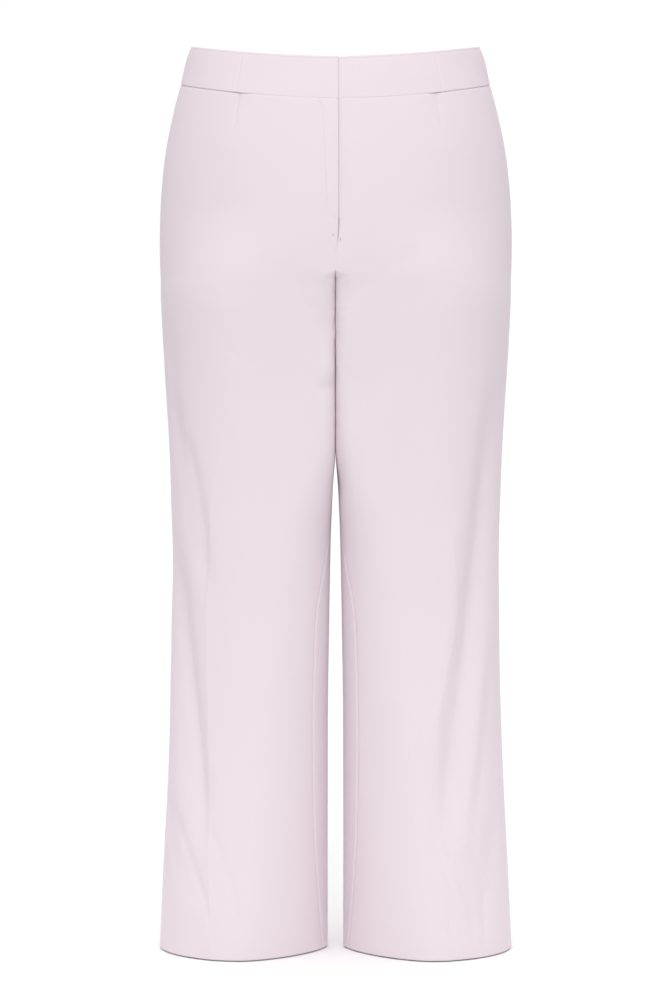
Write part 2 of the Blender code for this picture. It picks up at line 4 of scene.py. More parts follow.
import bpy
import numpy as np
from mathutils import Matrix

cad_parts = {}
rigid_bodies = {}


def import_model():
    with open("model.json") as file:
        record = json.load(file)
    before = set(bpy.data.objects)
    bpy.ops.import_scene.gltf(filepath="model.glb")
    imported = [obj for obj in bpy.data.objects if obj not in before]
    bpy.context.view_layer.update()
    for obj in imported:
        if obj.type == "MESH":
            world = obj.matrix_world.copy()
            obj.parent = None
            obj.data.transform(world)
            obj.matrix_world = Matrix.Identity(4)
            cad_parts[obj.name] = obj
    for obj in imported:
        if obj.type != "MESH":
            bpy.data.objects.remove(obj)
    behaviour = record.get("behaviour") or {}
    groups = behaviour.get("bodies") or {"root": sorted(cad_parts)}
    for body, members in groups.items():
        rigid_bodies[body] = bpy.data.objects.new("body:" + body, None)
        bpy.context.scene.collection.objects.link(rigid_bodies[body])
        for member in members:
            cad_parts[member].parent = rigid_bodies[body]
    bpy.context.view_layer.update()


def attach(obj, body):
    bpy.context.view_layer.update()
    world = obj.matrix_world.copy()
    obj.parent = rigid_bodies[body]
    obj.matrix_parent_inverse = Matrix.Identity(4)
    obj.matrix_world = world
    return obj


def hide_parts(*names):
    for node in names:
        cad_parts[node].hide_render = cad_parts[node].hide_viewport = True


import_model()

# Sizes are in millimetres until a mesh is made. +Z is up, the front faces -Y and the wearer's left is +X.
mm = 0.001
mirror = np.array((-1.0, 1.0, 1.0))
bpy.ops.object.select_all(action="DESELECT")

cameraView = {"place": (0.0006, -2.4, -0.4698), "lens": 77.0}
studio = {
    "backdrop": 1.02,  # how bright the world is behind the trousers
    "room": 0.48,  # and on the other sides
    "overhead": 0.75,  # more light from above, which makes the floor white
    "backdropEdge": (0.70, 0.93),  # how far back a direction points where the backdrop begins and is full
    "overheadEdge": (0.15, 0.80),  # the same for the light from above
    "key": {"size": 1.7, "place": (0.0, -2.2, 1.3), "aim": (0.0, 0.0, 0.0), "power": 28.0},
    "floorHeight": -961.2,
    "floorSize": 2.6,
    "floorColour": (0.90, 0.90, 0.905),
    "floorGlow": 0.03,
}


def intoScene(name, data):
    made = bpy.data.objects.new(name, data)
    bpy.context.scene.collection.objects.link(made)
    return made


def addCamera():
    data = bpy.data.cameras.new("photoCamera")
    data.lens, data.sensor_width = cameraView["lens"], 36.0
    camera = intoScene("photoCamera", data)
    camera.location = cameraView["place"]
    camera.rotation_euler = (radians(90.0), 0.0, 0.0)
    bpy.context.scene.camera = camera
    print("camera", cameraView["lens"], "mm lens")


class Wire:
    # one socket of a material, so that shader maths reads as plain sums
    def __init__(self, tree, socket=None):
        self.tree, self.socket = tree, socket

    def node(self, kind, settings, inputs, out=0):
        made = self.tree.nodes.new(kind)
        for name, value in settings.items():
            setattr(made, name, value)
        for name, value in inputs.items():
            if isinstance(value, Wire):
                self.tree.links.new(value.socket, made.inputs[name])
            else:
                made.inputs[name].default_value = value
        return Wire(self.tree, made.outputs[out])

    def place(self):
        return self.node("ShaderNodeTexCoord", {}, {}, "Object")

    def noise(self, place, scale, detail):
        return self.node("ShaderNodeTexNoise", {}, {"Vector": place, "Scale": scale, "Detail": detail}, 0)

    def maths(self, operation, first, second=None):
        inputs = {0: first} if second is None else {0: first, 1: second}
        return self.node("ShaderNodeMath", {"operation": operation}, inputs)

    def __add__(self, other):
        return self.maths("ADD", self, other)

    def __sub__(self, other):
        return self.maths("SUBTRACT", self, other)

    def __rsub__(self, other):
        return self.maths("SUBTRACT", other, self)

    def __mul__(self, other):
        return self.maths("MULTIPLY", self, other)

    def __abs__(self):
        return self.maths("ABSOLUTE", self)

    __radd__, __rmul__ = __add__, __mul__

    def sine(self):
        return self.maths("SINE", self)

    def larger(self, other):
        return self.maths("MAXIMUM", self, other)

    def blend(self, first, second):
        # this value mixes two colours
        made = self.tree.nodes.new("ShaderNodeMix")
        made.data_type = "RGBA"
        self.tree.links.new(self.socket, made.inputs["Factor"])
        for name, value in (("A", first), ("B", second)):
            socket = next(s for s in made.inputs if s.name == name and s.type == "RGBA")
            if isinstance(value, Wire):
                self.tree.links.new(value.socket, socket)
            else:
                socket.default_value = (*value, 1.0)
        return Wire(self.tree, next(s for s in made.outputs if s.type == "RGBA"))


def addLights():
    world = bpy.data.worlds.new("studioWorld")
    bpy.context.scene.world = world
    world.use_nodes = True
    # a white backdrop behind the trousers in a dimmer room, so that their sides round away
    sky = Wire(world.node_tree)
    way = sky.node("ShaderNodeTexCoord", {}, {}, "Generated")
    behind = sky.node("ShaderNodeSeparateXYZ", {}, {0: way}, "Y")
    above = Wire(sky.tree, behind.socket.node.outputs["Z"])

    def lit(way, edge, low, high):
        return sky.node("ShaderNodeMapRange", {"interpolation_type": "SMOOTHSTEP"},
                        {"Value": way, "From Min": edge[0], "From Max": edge[1], "To Min": low, "To Max": high})

    share = (lit(behind, studio["backdropEdge"], studio["room"], studio["backdrop"])
             + lit(above, studio["overheadEdge"], 0.0, studio["overhead"]))
    background = world.node_tree.nodes["Background"]
    background.inputs["Color"].default_value = (1.0, 1.0, 1.0, 1.0)
    world.node_tree.links.new(share.socket, background.inputs["Strength"])
    key = studio["key"]
    data = bpy.data.lights.new("keyLight", "AREA")
    data.shape, data.size, data.energy = "SQUARE", key["size"], key["power"]
    light = intoScene("keyLight", data)
    light.location = key["place"]
    across = [a - b for a, b in zip(key["aim"], key["place"])]
    light.rotation_euler = (atan2(sqrt(across[0] ** 2 + across[1] ** 2), -across[2]), 0.0,
                            atan2(-across[0], across[1]))
    print("key light", key["power"], "W")


def newMaterial(name):
    material = bpy.data.materials.new(name)
    material.use_nodes = True
    return material, Wire(material.node_tree), material.node_tree.nodes["Principled BSDF"]


def finishShader(wire, shader, values):
    for name, value in values.items():
        if isinstance(value, Wire):
            wire.tree.links.new(value.socket, shader.inputs[name])
        else:
            shader.inputs[name].default_value = value


suiting = {
    "colour": (0.785, 0.694, 0.740),
    "deepColour": (0.761, 0.669, 0.716),
    "pitch": 0.00042,
    "weaveDepth": 0.00004,
    "roughness": 0.74,
    "sheen": 0.10,
}
clothTone = {
    "cloudScale": 7.0, "slubScale": 260.0,
    "clouds": 0.6, "slubs": 0.25, "weave": 0.15,  # how much each one tints the cloth
    "roughSlubs": 0.10, "smoothSeams": 0.10,
    "bump": 0.5, "bumpSlubs": 0.6, "overUnder": 0.6,
    "sheenRoughness": 0.45, "specular": 0.28,
}


def plainWeave(wire, pitch):
    # warp and weft threads pass over and under each other; the UV map is the flat cloth in metres
    uv = wire.node("ShaderNodeUVMap", {"uv_map": "flatCloth"}, {})
    flat = wire.node("ShaderNodeSeparateXYZ", {}, {0: uv}, "X")
    down = Wire(wire.tree, flat.socket.node.outputs["Y"])
    warp = (flat * (pi / pitch)).sine()
    weft = (down * (pi / pitch)).sine()
    over = warp * weft * clothTone["overUnder"]
    return (abs(warp) + over).larger(abs(weft) - over)


def suitingMaterial(name, look):
    material, wire, shader = newMaterial(name)
    place = wire.place()
    cloudy = wire.noise(place, clothTone["cloudScale"], 3.0)
    slub = wire.noise(place, clothTone["slubScale"], 2.0)
    weave = plainWeave(wire, look["pitch"])
    pressed = wire.node("ShaderNodeAttribute", {"attribute_name": "pressed"}, {}, "Fac")
    tone = cloudy * clothTone["clouds"] + slub * clothTone["slubs"] + weave * clothTone["weave"]
    roughness = look["roughness"] + slub * clothTone["roughSlubs"] - pressed * clothTone["smoothSeams"]
    height = weave + slub * clothTone["bumpSlubs"]
    bump = wire.node("ShaderNodeBump", {}, {"Strength": clothTone["bump"], "Distance": look["weaveDepth"],
                                            "Height": height}, "Normal")
    finishShader(wire, shader, {
        "Base Color": tone.blend(look["deepColour"], look["colour"]),
        "Roughness": roughness, "Normal": bump, "Sheen Weight": look["sheen"],
        "Sheen Roughness": clothTone["sheenRoughness"], "Specular IOR Level": clothTone["specular"],
    })
    return material


# the surface that every cloth piece is cut from
body = {
    "top": 52.0, "bottom": -964.0, "step": 2.0, "points": 481,
    "hipSquareness": 2.15,
    "forkFront": -222.0, "forkBack": -160.0, "forkSide": -150.0,
    "crotch": -265.0, "crotchBackOfMiddle": 8.0, "crotchBend": 0.8,
    "forkLevels": 56, "forkCloser": 1.4,
    "wallReach": 3.0, "wallFade": 8.0,  # how near the middle, and how soon under a fork, the thighs meet
    "lens": 0.34, "lensTop": -420.0, "lensFade": 160.0,  # lower down the legs' inner corners grow flatter
    "legPoints": 720, "quarterPoints": 90, "aroundStep": 2.0, "downStep": 3.0,
    "hem": -960.0,
    # height, half width, front, back
    "hips": (
        (48, 156.5, 92, 103), (25, 165, 96, 106), (0, 171.2, 101, 110),
        (-30, 179.2, 106.5, 117), (-75, 188.5, 113, 127), (-120, 193.9, 117.5, 135),
        (-165, 196, 119.5, 138), (-210, 195.9, 119, 136), (-265, 193.6, 116, 128),
    ),
    # height, outer, inner, front, back, roundness, inseam, squareness
    "legs": (
        (-150, 195.6, -0.03, 118, 136, 0.14, 8, 2.12),
        (-210, 195.7, -0.03, 116, 131, 0.13, 8, 2.12),
        (-265, 193.2, -0.03, 110, 116, 0.12, 8, 2.12),
        (-330, 189.6, -0.03, 102, 101, 0.14, -6, 2.10),
        (-410, 184.9, 0, 96, 92, 0.24, -24, 2.04),
        (-455, 183.1, 2.9, 93, 88, 0.40, -36, 2.00),
        (-500, 181.7, 5.1, 90, 85, 0.58, -46, 1.98),
        (-545, 181.3, 6.4, 87.5, 82.5, 0.64, -53, 1.96),
        (-590, 181.8, 7.3, 85.5, 81, 0.70, -56, 1.94),
        (-680, 183.2, 8.5, 84, 79.5, 0.80, -51, 1.91),
        (-765, 186.3, 8.6, 83.5, 78.5, 0.88, -45, 1.89),
        (-855, 190.8, 8.4, 85, 77.5, 0.95, -37, 1.87),
        (-960, 195.6, 8.1, 88, 77, 1.00, -22, 1.85),
    ),
}


def smoothstep(share):
    share = np.clip(share, 0.0, 1.0)
    return share * share * (3.0 - 2.0 * share)


def readTable(rows, z):
    # the rows at heights z, by a cubic through the rows on both sides of each
    rows, z = np.array(rows), np.atleast_1d(z)
    z = np.clip(z, rows[-1, 0], rows[0, 0])
    low = np.clip(np.searchsorted(-rows[:, 0], -z), 1, len(rows) - 1)
    before, first, second, after = (rows[np.clip(low + k, 0, len(rows) - 1)] for k in (-2, -1, 0, 1))
    step = (second - first)[:, :1]
    t = (z[:, None] - first[:, :1]) / step
    slopeIn = (second - before) / (second - before)[:, :1] * step
    slopeOut = (after - first) / (after - first)[:, :1] * step
    return ((2 * t**3 - 3 * t**2 + 1) * first + (t**3 - 2 * t**2 + t) * slopeIn
            + (3 * t**2 - 2 * t**3) * second + (t**3 - t**2) * slopeOut)


def quadrant(start, end, squareness):
    turn = np.linspace(0.0, pi / 2, body["quarterPoints"])
    across, along = np.sin(turn) ** (2.0 / squareness), np.cos(turn) ** (2.0 / squareness)
    return np.stack([start[0] + (end[0] - start[0]) * across,
                     end[1] + (start[1] - end[1]) * along], axis=1)


def arcLengths(points):
    return np.concatenate([[0.0], np.cumsum(np.linalg.norm(np.diff(points, axis=0), axis=1))])


def readAlong(at, along, values):
    # every column of values at those places along them
    return np.stack([np.interp(at, along, values[:, k]) for k in range(values.shape[1])], axis=1)


def hipOutline(z):
    halfWidth, front, back = readTable(body["hips"], z)[0, 1:]
    side = (halfWidth, (back - front) / 2)
    forward = quadrant((0.0, -front), side, body["hipSquareness"])
    behind = quadrant((0.0, back), side, body["hipSquareness"])[::-1]
    return np.concatenate([forward, behind[1:]])


def crotchSeam(z, front, back, inseam):
    # where the U of the crotch seam stands at this height
    seamFront, seamBack = -front, back
    if z <= body["crotch"]:
        return inseam, inseam
    middle = body["crotchBackOfMiddle"]
    if z < body["forkFront"]:
        left = (z - body["crotch"]) / (body["forkFront"] - body["crotch"])
        seamFront = middle + (seamFront - middle) * left ** body["crotchBend"]
    if z < body["forkBack"]:
        left = (z - body["crotch"]) / (body["forkBack"] - body["crotch"])
        seamBack = middle + (seamBack - middle) * left ** body["crotchBend"]
    return seamFront, seamBack


def legOutline(z):
    outer, inner, front, back, roundness, inseam, squareness = readTable(body["legs"], z)[0, 1:]
    middleX, middleY, depth = (outer + inner) / 2, (back - front) / 2, (back + front) / 2
    seamFront, seamBack = crotchSeam(z, front, back, inseam)
    room = (seamFront + front, back - seamBack) if z > body["crotch"] else (depth, depth)
    cornerY = [min(roundness * depth, max(r, 0.01)) for r in room]
    cornerX = [(middleX - inner) * c / depth for c in cornerY]
    lens = body["lens"] * float(smoothstep((body["lensTop"] - z) / body["lensFade"]))
    bend = 2.0 + (squareness - 2.0) * roundness - lens
    frontCorner = quadrant((inner + cornerX[0], -front), (inner, cornerY[0] - front), bend)[::-1]
    backCorner = quadrant((inner + cornerX[1], back), (inner, back - cornerY[1]), bend)
    outerFront = quadrant((middleX, -front), (outer, middleY), squareness)
    outerBack = quadrant((middleX, back), (outer, middleY), squareness)[::-1]
    innerMiddle = (cornerY[0] - front + back - cornerY[1]) / 2
    start = np.array([[inner, innerMiddle]])
    ring = np.concatenate([start, frontCorner, outerFront, outerBack[1:], backCorner, start])
    along = arcLengths(ring)
    first, last = len(frontCorner) + 1, len(ring) - len(backCorner) - 1

    def place(y):
        if y <= innerMiddle:
            return float(np.interp(-y, -ring[:first, 1], along[:first]))
        return float(np.interp(-y, -ring[last:, 1], along[last:])) - along[-1]

    wrapped = np.linspace(place(seamFront), place(seamBack) + along[-1], body["legPoints"])
    wrapped = np.mod(wrapped, along[-1])
    return readAlong(wrapped, along, ring)


def bodyLevels():
    # level sections of half the trousers, each read at even distances round it; they lie closer
    # together where the crotch seam runs under
    heights = [np.arange(body["top"], body["bottom"], -body["step"])]
    for fork in ("forkFront", "forkBack"):
        share = np.linspace(0.0, 1.0, body["forkLevels"]) ** body["forkCloser"]
        heights.append(body["crotch"] + (body[fork] - body["crotch"]) * share)
    heights = np.unique(np.concatenate(heights).round(4))[::-1]
    even = np.linspace(0.0, 1.0, body["points"])
    points, lengths, sides = [], [], []
    for z in heights:
        turned = float(smoothstep((body["forkSide"] - z) / (body["forkSide"] - body["crotch"])))
        mixed, side = 0.0, 0.0
        for weight, outline in ((1.0 - turned, hipOutline), (turned, legOutline)):
            if weight > 0.0:
                ring = outline(z)
                at = arcLengths(ring)
                at = at / at[-1]
                side += weight * at[ring[:, 0].argmax()]
                read = readAlong(even, at, ring)
                mixed = mixed + weight * read
        # between fork and crotch the inner walls stay together
        half = body["points"] // 2
        for part, fork in ((slice(0, half), "forkFront"), (slice(half, None), "forkBack")):
            wall = np.exp(-((read[part, 0] / body["wallReach"]) ** 2))
            wall = wall * float(smoothstep((body[fork] - z) / body["wallFade"]))
            mixed[part, 0] += (read[part, 0] - mixed[part, 0]) * wall
        along = arcLengths(mixed)
        points.append(readAlong(even * along[-1], along, mixed))
        lengths.append(along[-1])
        sides.append(np.interp(side, even, along))
    return heights, np.array(points), np.array(lengths), np.array(sides)


levelHeights, levelPoints, levelLengths, levelSides = bodyLevels()
legRows = readTable(body["legs"], levelHeights)
print("sections of the body:", len(levelHeights))


def atLevel(values, z):
    return np.interp(-z, -levelHeights, values)


def skinPoint(distance, z):
    # a point of the surface at a distance round from the front seam; below zero it is past the middle
    i = np.clip(np.searchsorted(-levelHeights, -z, side="right") - 1, 0, len(levelHeights) - 2)
    f = ((levelHeights[i] - z) / (levelHeights[i] - levelHeights[i + 1]))[..., None]
    share = np.clip(np.abs(distance) / atLevel(levelLengths, z), 0.0, 1.0) * (body["points"] - 1)
    j = np.minimum(share.astype(int), body["points"] - 2)
    g = (share - j)[..., None]
    flat = ((levelPoints[i, j] * (1 - g) + levelPoints[i, j + 1] * g) * (1 - f)
            + (levelPoints[i + 1, j] * (1 - g) + levelPoints[i + 1, j + 1] * g) * f)
    x = np.where(distance < 0.0, -flat[..., 0], flat[..., 0])
    return np.stack([x, flat[..., 1], z], axis=-1)


def skin(distance, z):
    # points of the surface and the directions that face out of it
    step, drop = body["aroundStep"], body["downStep"]
    back = np.where(distance >= 0.0, np.maximum(distance - step, 0.0), distance - step)
    ahead = np.where(distance >= 0.0, distance + step, np.minimum(distance + step, 0.0))
    total = atLevel(levelLengths, z)
    ahead = np.minimum(ahead, total)
    back = np.minimum(back, ahead - 1.0)
    around = skinPoint(ahead, z) - skinPoint(back, z)
    # up and down from the same place, which is counted from the side seam, because the front seam turns away
    side = atLevel(levelSides, z)
    lower = distance + atLevel(levelSides, z - drop) - side
    upper = distance + atLevel(levelSides, z + drop) - side
    lower, upper = (np.where(distance >= 0.0, np.maximum(d, 0.0), d) for d in (lower, upper))
    down = skinPoint(lower, z - drop) - skinPoint(upper, z + drop)
    out = np.cross(down, around)
    out /= np.maximum(np.linalg.norm(out, axis=-1, keepdims=True), 1e-9)
    return skinPoint(distance, z), out


def legAngle(points):
    # degrees round a leg from its front, positive towards its outer side; points are of the left leg
    outer, inner, front, back = (atLevel(legRows[:, k], points[..., 2]) for k in (1, 2, 3, 4))
    across = (points[..., 0] - (outer + inner) / 2) / ((outer - inner) / 2)
    along = -(points[..., 1] - (back - front) / 2) / ((back + front) / 2)
    angle = np.degrees(np.arctan2(across, along))
    return np.where(angle < -100.0, angle + 360.0, angle)


folds = {
    "ends": 0.22,  # share of a fold's length over which each end fades
    # height and angle of its top, height and angle of its low end, half width in degrees, depth
    "left": (
        (-300, 72, -890, 8, 12.5, -3.4), (-560, 58, -900, 22, 12, 1.8),
        (-300, -28, -480, -60, 9, -2.4), (-800, 62, -950, 34, 9, -1.8),
        (-250, 128, -560, 196, 14, -3.2), (-480, 104, -860, 156, 13, -3.4),
        (-640, 236, -930, 190, 12, -2.6),
    ),
    "right": (
        (-330, 66, -580, 32, 9, -2.4), (-470, 80, -870, 24, 11, -4),
        (-620, 78, -900, 46, 12, 1.6), (-790, 78, -915, 30, 9, -2),
        (-330, -44, -420, -78, 8, -1.6), (-240, 134, -520, 204, 14, -3),
        (-500, 110, -890, 150, 12, -3.2), (-600, 228, -900, 184, 13, -2.8),
    ),
    # soft hollows and swells of front and back: x, height, radius across, radius down, turn, lift
    "frontSpots": (
        (-66, -222, 26, 12, -20, -0.9), (72, -210, 26, 11, 20, -0.9),
        (-97, -300, 14, 22, 20, -0.8), (-30, -232, 18, 8, -40, -0.9),
        (34, -236, 18, 8, 40, -0.8),
        # the hollow, bulge and notch beside the slit between the thighs
        (-8, -276, 9, 24, 10, -6.5), (-21, -256, 6, 16, 24, 1),
        (-11, -325, 7, 9, 0, 1.8), (-8, -345, 7, 5.5, 30, -3.4),
        (7, -300, 9, 60, 0, 1.5),
    ),
    "backSpots": (
        (-52, -236, 40, 12, 24, -1.6), (50, -242, 42, 12, -26, -1.7),
        (-70, -290, 36, 11, 30, -1.4), (78, -300, 34, 12, -30, -1.3),
    ),
    # finer folds: half width, depth, then x and height of each point of its line
    "frontLines": (
        (12.5, -5.6, ((181, -275), (173, -345), (167, -400), (163, -447), (159, -500),
                      (152, -560), (146, -610), (139, -665), (130, -710), (123, -760),
                      (117, -810), (110, -880))),
        (9, 1.8, ((132, -430), (128, -545), (117, -640), (104, -715), (98, -800))),
        (7, 1.4, ((158, -630), (152, -700), (142.1, -787.1), (134.6, -840.7), (121, -885))),
        (6, -1.6, ((170, -620), (164, -700), (154, -790), (146, -850))),
        (3.5, -1.4, ((162.5, -880), (162.5, -957))),
        (3.6, -1.6, ((110, -815), (133.5, -872.9), (156, -935))),
        (3.4, -1.4, ((104, -835), (118.5, -883.6), (126, -945))),
        (4, -1.6, ((120, -820), (155, -867.5), (182, -916))),
        (3, -0.8, ((118, -850), (142, -895), (150, -945))),
        (5, -1.7, ((43, -325), (34, -385), (26, -425), (17, -455))),
        (7, -3, ((-166, -380), (-162.3, -398), (-151.6, -447.3), (-143, -497.7), (-138, -575))),
        (10, -4.8, ((-176, -490), (-168, -572.7), (-160, -652), (-153, -704.6), (-149, -758.2),
                      (-141, -850))),
        (5, 1.3, ((-172, -600), (-166, -680), (-156, -760), (-150, -830))),
        (6, -2.4, ((-184, -785), (-161.3, -846.1), (-139, -905))),
        (4, -1.3, ((-135, -815), (-115.2, -872.9), (-99, -940))),
        (3.5, -0.9, ((-150, -870), (-136, -915), (-130, -955))),
        (6, -1.6, ((-183, -262), (-177, -345), (-170, -440))),
        (3.4, -1, ((-43, -226), (-33, -245), (-21, -270))),
        (3.5, -0.7, ((-120, -300), (-98, -316), (-78, -322))),
    ),
    "backLines": (
        (9, -2, ((-150, -250), (-110, -268), (-60, -262))),
        (9, -2, ((156, -262), (112, -280), (58, -270))),
        (8, -1.8, ((-130, -300), (-92, -322), (-44, -318))),
        (8, -1.6, ((140, -318), (100, -338), (50, -330))),
        (8, -2.2, ((-164, -400), (-140, -520), (-126, -640), (-120, -760), (-112, -860))),
        (8, -2.2, ((160, -380), (146, -500), (128, -620), (124, -740), (112, -880))),
        (6, -1.6, ((-30, -470), (-58, -560), (-66, -680))),
        (6, -1.6, ((34, -500), (60, -600), (74, -720))),
        (5, -1.4, ((-160, -760), (-142, -850), (-120, -930))),
        (5, -1.3, ((164, -790), (140, -870), (126, -945))),
        (4, -1, ((-92, -800), (-78, -880), (-74, -945))),
        (4, -1, ((88, -810), (80, -880), (84, -945))),
    ),
    "lineEnds": 0.24,
    "facing": (30.0, 50.0),  # how far forward or back the cloth lies where front and back folds fade
    "swells": ((0.75, (90.0, 90.0, 190.0), 3), (0.22, (38.0, 38.0, 70.0), 5)),  # height, size, seed
}


def softNoise(points, size, seed):
    # smooth random bumps between -1 and 1, the same on each run
    lattice = np.random.default_rng(seed).uniform(-1.0, 1.0, (32, 32, 32))
    at = points / np.array(size) + 1000.0
    low = np.floor(at).astype(int)
    f = at - low
    f = f * f * (3.0 - 2.0 * f)
    low = np.mod(low, 32)
    high = np.mod(low + 1, 32)
    total = 0.0
    for a in (0, 1):
        for b in (0, 1):
            for c in (0, 1):
                weight = ((f[..., 0] if a else 1 - f[..., 0]) * (f[..., 1] if b else 1 - f[..., 1])
                          * (f[..., 2] if c else 1 - f[..., 2]))
                i, j, k = ((high if pick else low)[..., n] for n, pick in enumerate((a, b, c)))
                total = total + weight * lattice[i, j, k]
    return total


def nearLine(points, line):
    # shortest distance of points in a plane from a line of points, and how far along it that is
    line = np.array(line)
    lengths = arcLengths(line)
    best, share = np.full(points.shape[:-1], 1e9), np.zeros(points.shape[:-1])
    for n, (start, end) in enumerate(zip(line[:-1], line[1:])):
        way = end - start
        t = np.clip(((points - start) @ way) / float(way @ way), 0.0, 1.0)
        away = np.linalg.norm(points - start - t[..., None] * way, axis=-1)
        share = np.where(away < best, (lengths[n] + t * (lengths[n + 1] - lengths[n])) / lengths[-1], share)
        best = np.minimum(best, away)
    return best, share


def foldLift(side, points):
    # how far the folds lift the cloth; points are of the left half, mirrored for the right one
    z = points[..., 2]
    angle = legAngle(points)
    lift = np.zeros(z.shape)
    for top, angleTop, low, angleLow, halfWidth, depth in folds[side]:
        share = (top - z) / (top - low)
        middle = angleTop + (angleLow - angleTop) * np.clip(share, 0.0, 1.0)
        fade = smoothstep(share / folds["ends"]) * smoothstep((1.0 - share) / folds["ends"])
        lift += depth * fade * np.exp(-(((angle - middle) / halfWidth) ** 2))
    lift *= z < body["forkSide"]
    flip = mirror if side == "right" else np.ones(3)
    x, y = points[..., 0] * flip[0], points[..., 1]
    plane = np.stack([x, z], axis=-1)
    for kind, forward in (("front", -y), ("back", y)):
        facing = smoothstep((folds["facing"][0] + forward) / folds["facing"][1])
        for halfWidth, depth, line in folds[f"{kind}Lines"]:
            away, share = nearLine(plane, line)
            fade = smoothstep(share / folds["lineEnds"]) * smoothstep((1.0 - share) / folds["lineEnds"])
            lift += facing * depth * fade * np.exp(-((away / halfWidth) ** 2))
        for atX, atZ, across, down, turn, depth in folds[f"{kind}Spots"]:
            c, s = cos(radians(turn)), sin(radians(turn))
            u = (x - atX) * c + (z - atZ) * s
            v = (z - atZ) * c - (x - atX) * s
            lift += facing * depth * np.exp(-((u / across) ** 2) - (v / down) ** 2)
    for height, size, seed in folds["swells"]:
        lift += height * softNoise(points * flip, size, seed)
    return lift


def clothObject(name, points, flat, pressed, outward, wall, material):
    # a grid of points of the cloth's face made into a sheet of that wall, with its flat cut as UV map
    rows, columns = points.shape[:2]
    index = np.arange(rows * columns).reshape(rows, columns)
    a, b, c, d = index[:-1, :-1], index[1:, :-1], index[1:, 1:], index[:-1, 1:]
    middle = (rows // 2, columns // 2)
    facing = np.cross(points[middle[0] + 1, middle[1]] - points[middle],
                      points[middle[0], middle[1] + 1] - points[middle])
    quads = [a, b, c, d] if float(facing @ outward[middle]) > 0.0 else [a, d, c, b]
    quads = np.stack(quads, axis=-1).reshape(-1, 4)
    mesh = bpy.data.meshes.new(name)
    mesh.from_pydata((points.reshape(-1, 3) * mm).tolist(), [], quads.tolist())
    layer = mesh.uv_layers.new(name="flatCloth")
    layer.data.foreach_set("uv", (flat.reshape(-1, 2)[quads.reshape(-1)] * mm).astype(np.float32).ravel())
    mark = mesh.attributes.new("pressed", "FLOAT", "POINT")
    mark.data.foreach_set("value", pressed.astype(np.float32).ravel())
    mesh.materials.append(material)
    cloth = intoScene(name, mesh)
    shell = cloth.modifiers.new("wall", "SOLIDIFY")
    shell.thickness, shell.offset = wall * mm, -1.0
    shell.use_quality_normals = True
    bpy.context.view_layer.objects.active = cloth
    cloth.select_set(True)
    bpy.ops.object.modifier_apply(modifier="wall")
    bpy.ops.object.shade_smooth_by_angle(angle=radians(60.0))
    even = cloth.modifiers.new("evenNormals", "WEIGHTED_NORMAL")
    even.mode, even.keep_sharp = "FACE_AREA", True
    bpy.ops.object.modifier_apply(modifier="evenNormals")
    cloth.select_set(False)
    return cloth


def gridArea(points):
    # area of a grid's face, in square metres
    u, v = points[1:, :-1] - points[:-1, :-1], points[:-1, 1:] - points[:-1, :-1]
    return float(np.linalg.norm(np.cross(u, v), axis=-1).sum()) * mm * mm


waist = {
    "topAtSide": 42.0, "frontDip": 33.0, "backRise": 6.0, "sideEase": 0.12,
    "height": 42.0, "extraFront": 5.0, "gap": 0.06,
    "seamFront": 0.30, "seamFrom": 92.0, "seamFade": 26.0,
}


def eased(turn):
    return (turn + np.sqrt(turn**2 + waist["sideEase"] ** 2)) / 2


def bandTop(share):
    turn = np.cos(pi * share)
    return waist["topAtSide"] - waist["frontDip"] * eased(turn) + waist["backRise"] * eased(-turn)


def bandHeight(share):
    return waist["height"] + waist["extraFront"] * eased(np.cos(pi * share))


def waistSeam(share):
    return bandTop(share) - bandHeight(share)


waistHeight = float(waistSeam(0.5))
waistSide = float(atLevel(levelSides, waistHeight))
waistLength = float(atLevel(levelLengths, waistHeight))


def waistTurn(distance):
    # share of the way round the waist: 0 at centre front, 0.5 at the side, 1 at centre back
    return np.where(distance <= waistSide, 0.5 * np.abs(distance) / waistSide,
                    0.5 + 0.5 * (distance - waistSide) / (waistLength - waistSide))


def seamShare(distance):
    # the waist seam is deep at the sides and back and nearly flat between the darts
    deeper = smoothstep((np.abs(distance) - waist["seamFrom"]) / waist["seamFade"])
    return waist["seamFront"] + (1.0 - waist["seamFront"]) * deeper


fly = {
    "edge": 3.0, "end": -169.0, "flush": -205.0, "underlap": 6.0, "underFrom": 1.0, "underFade": 9.0,
    # distance from the middle and how far the left front lies under the right one there
    "steps": ((2.4, 2.9), (3.5, 2.2), (18.0, 0.0)),
    # the J-stitch: height, distance from the middle towards the wearer's right
    "stitchLine": ((-40.6, 18.6), (-46.0, 16.0), (-52.3, 13.9), (-80.0, 12.6), (-114.0, 11.1), (-151.0, 9.4),
                   (-158.8, 8.4), (-163.0, 6.4), (-165.6, 3.4), (-166.6, -1.2)),
    "stitchSink": 0.55, "stitchWidth": 1.0,
}

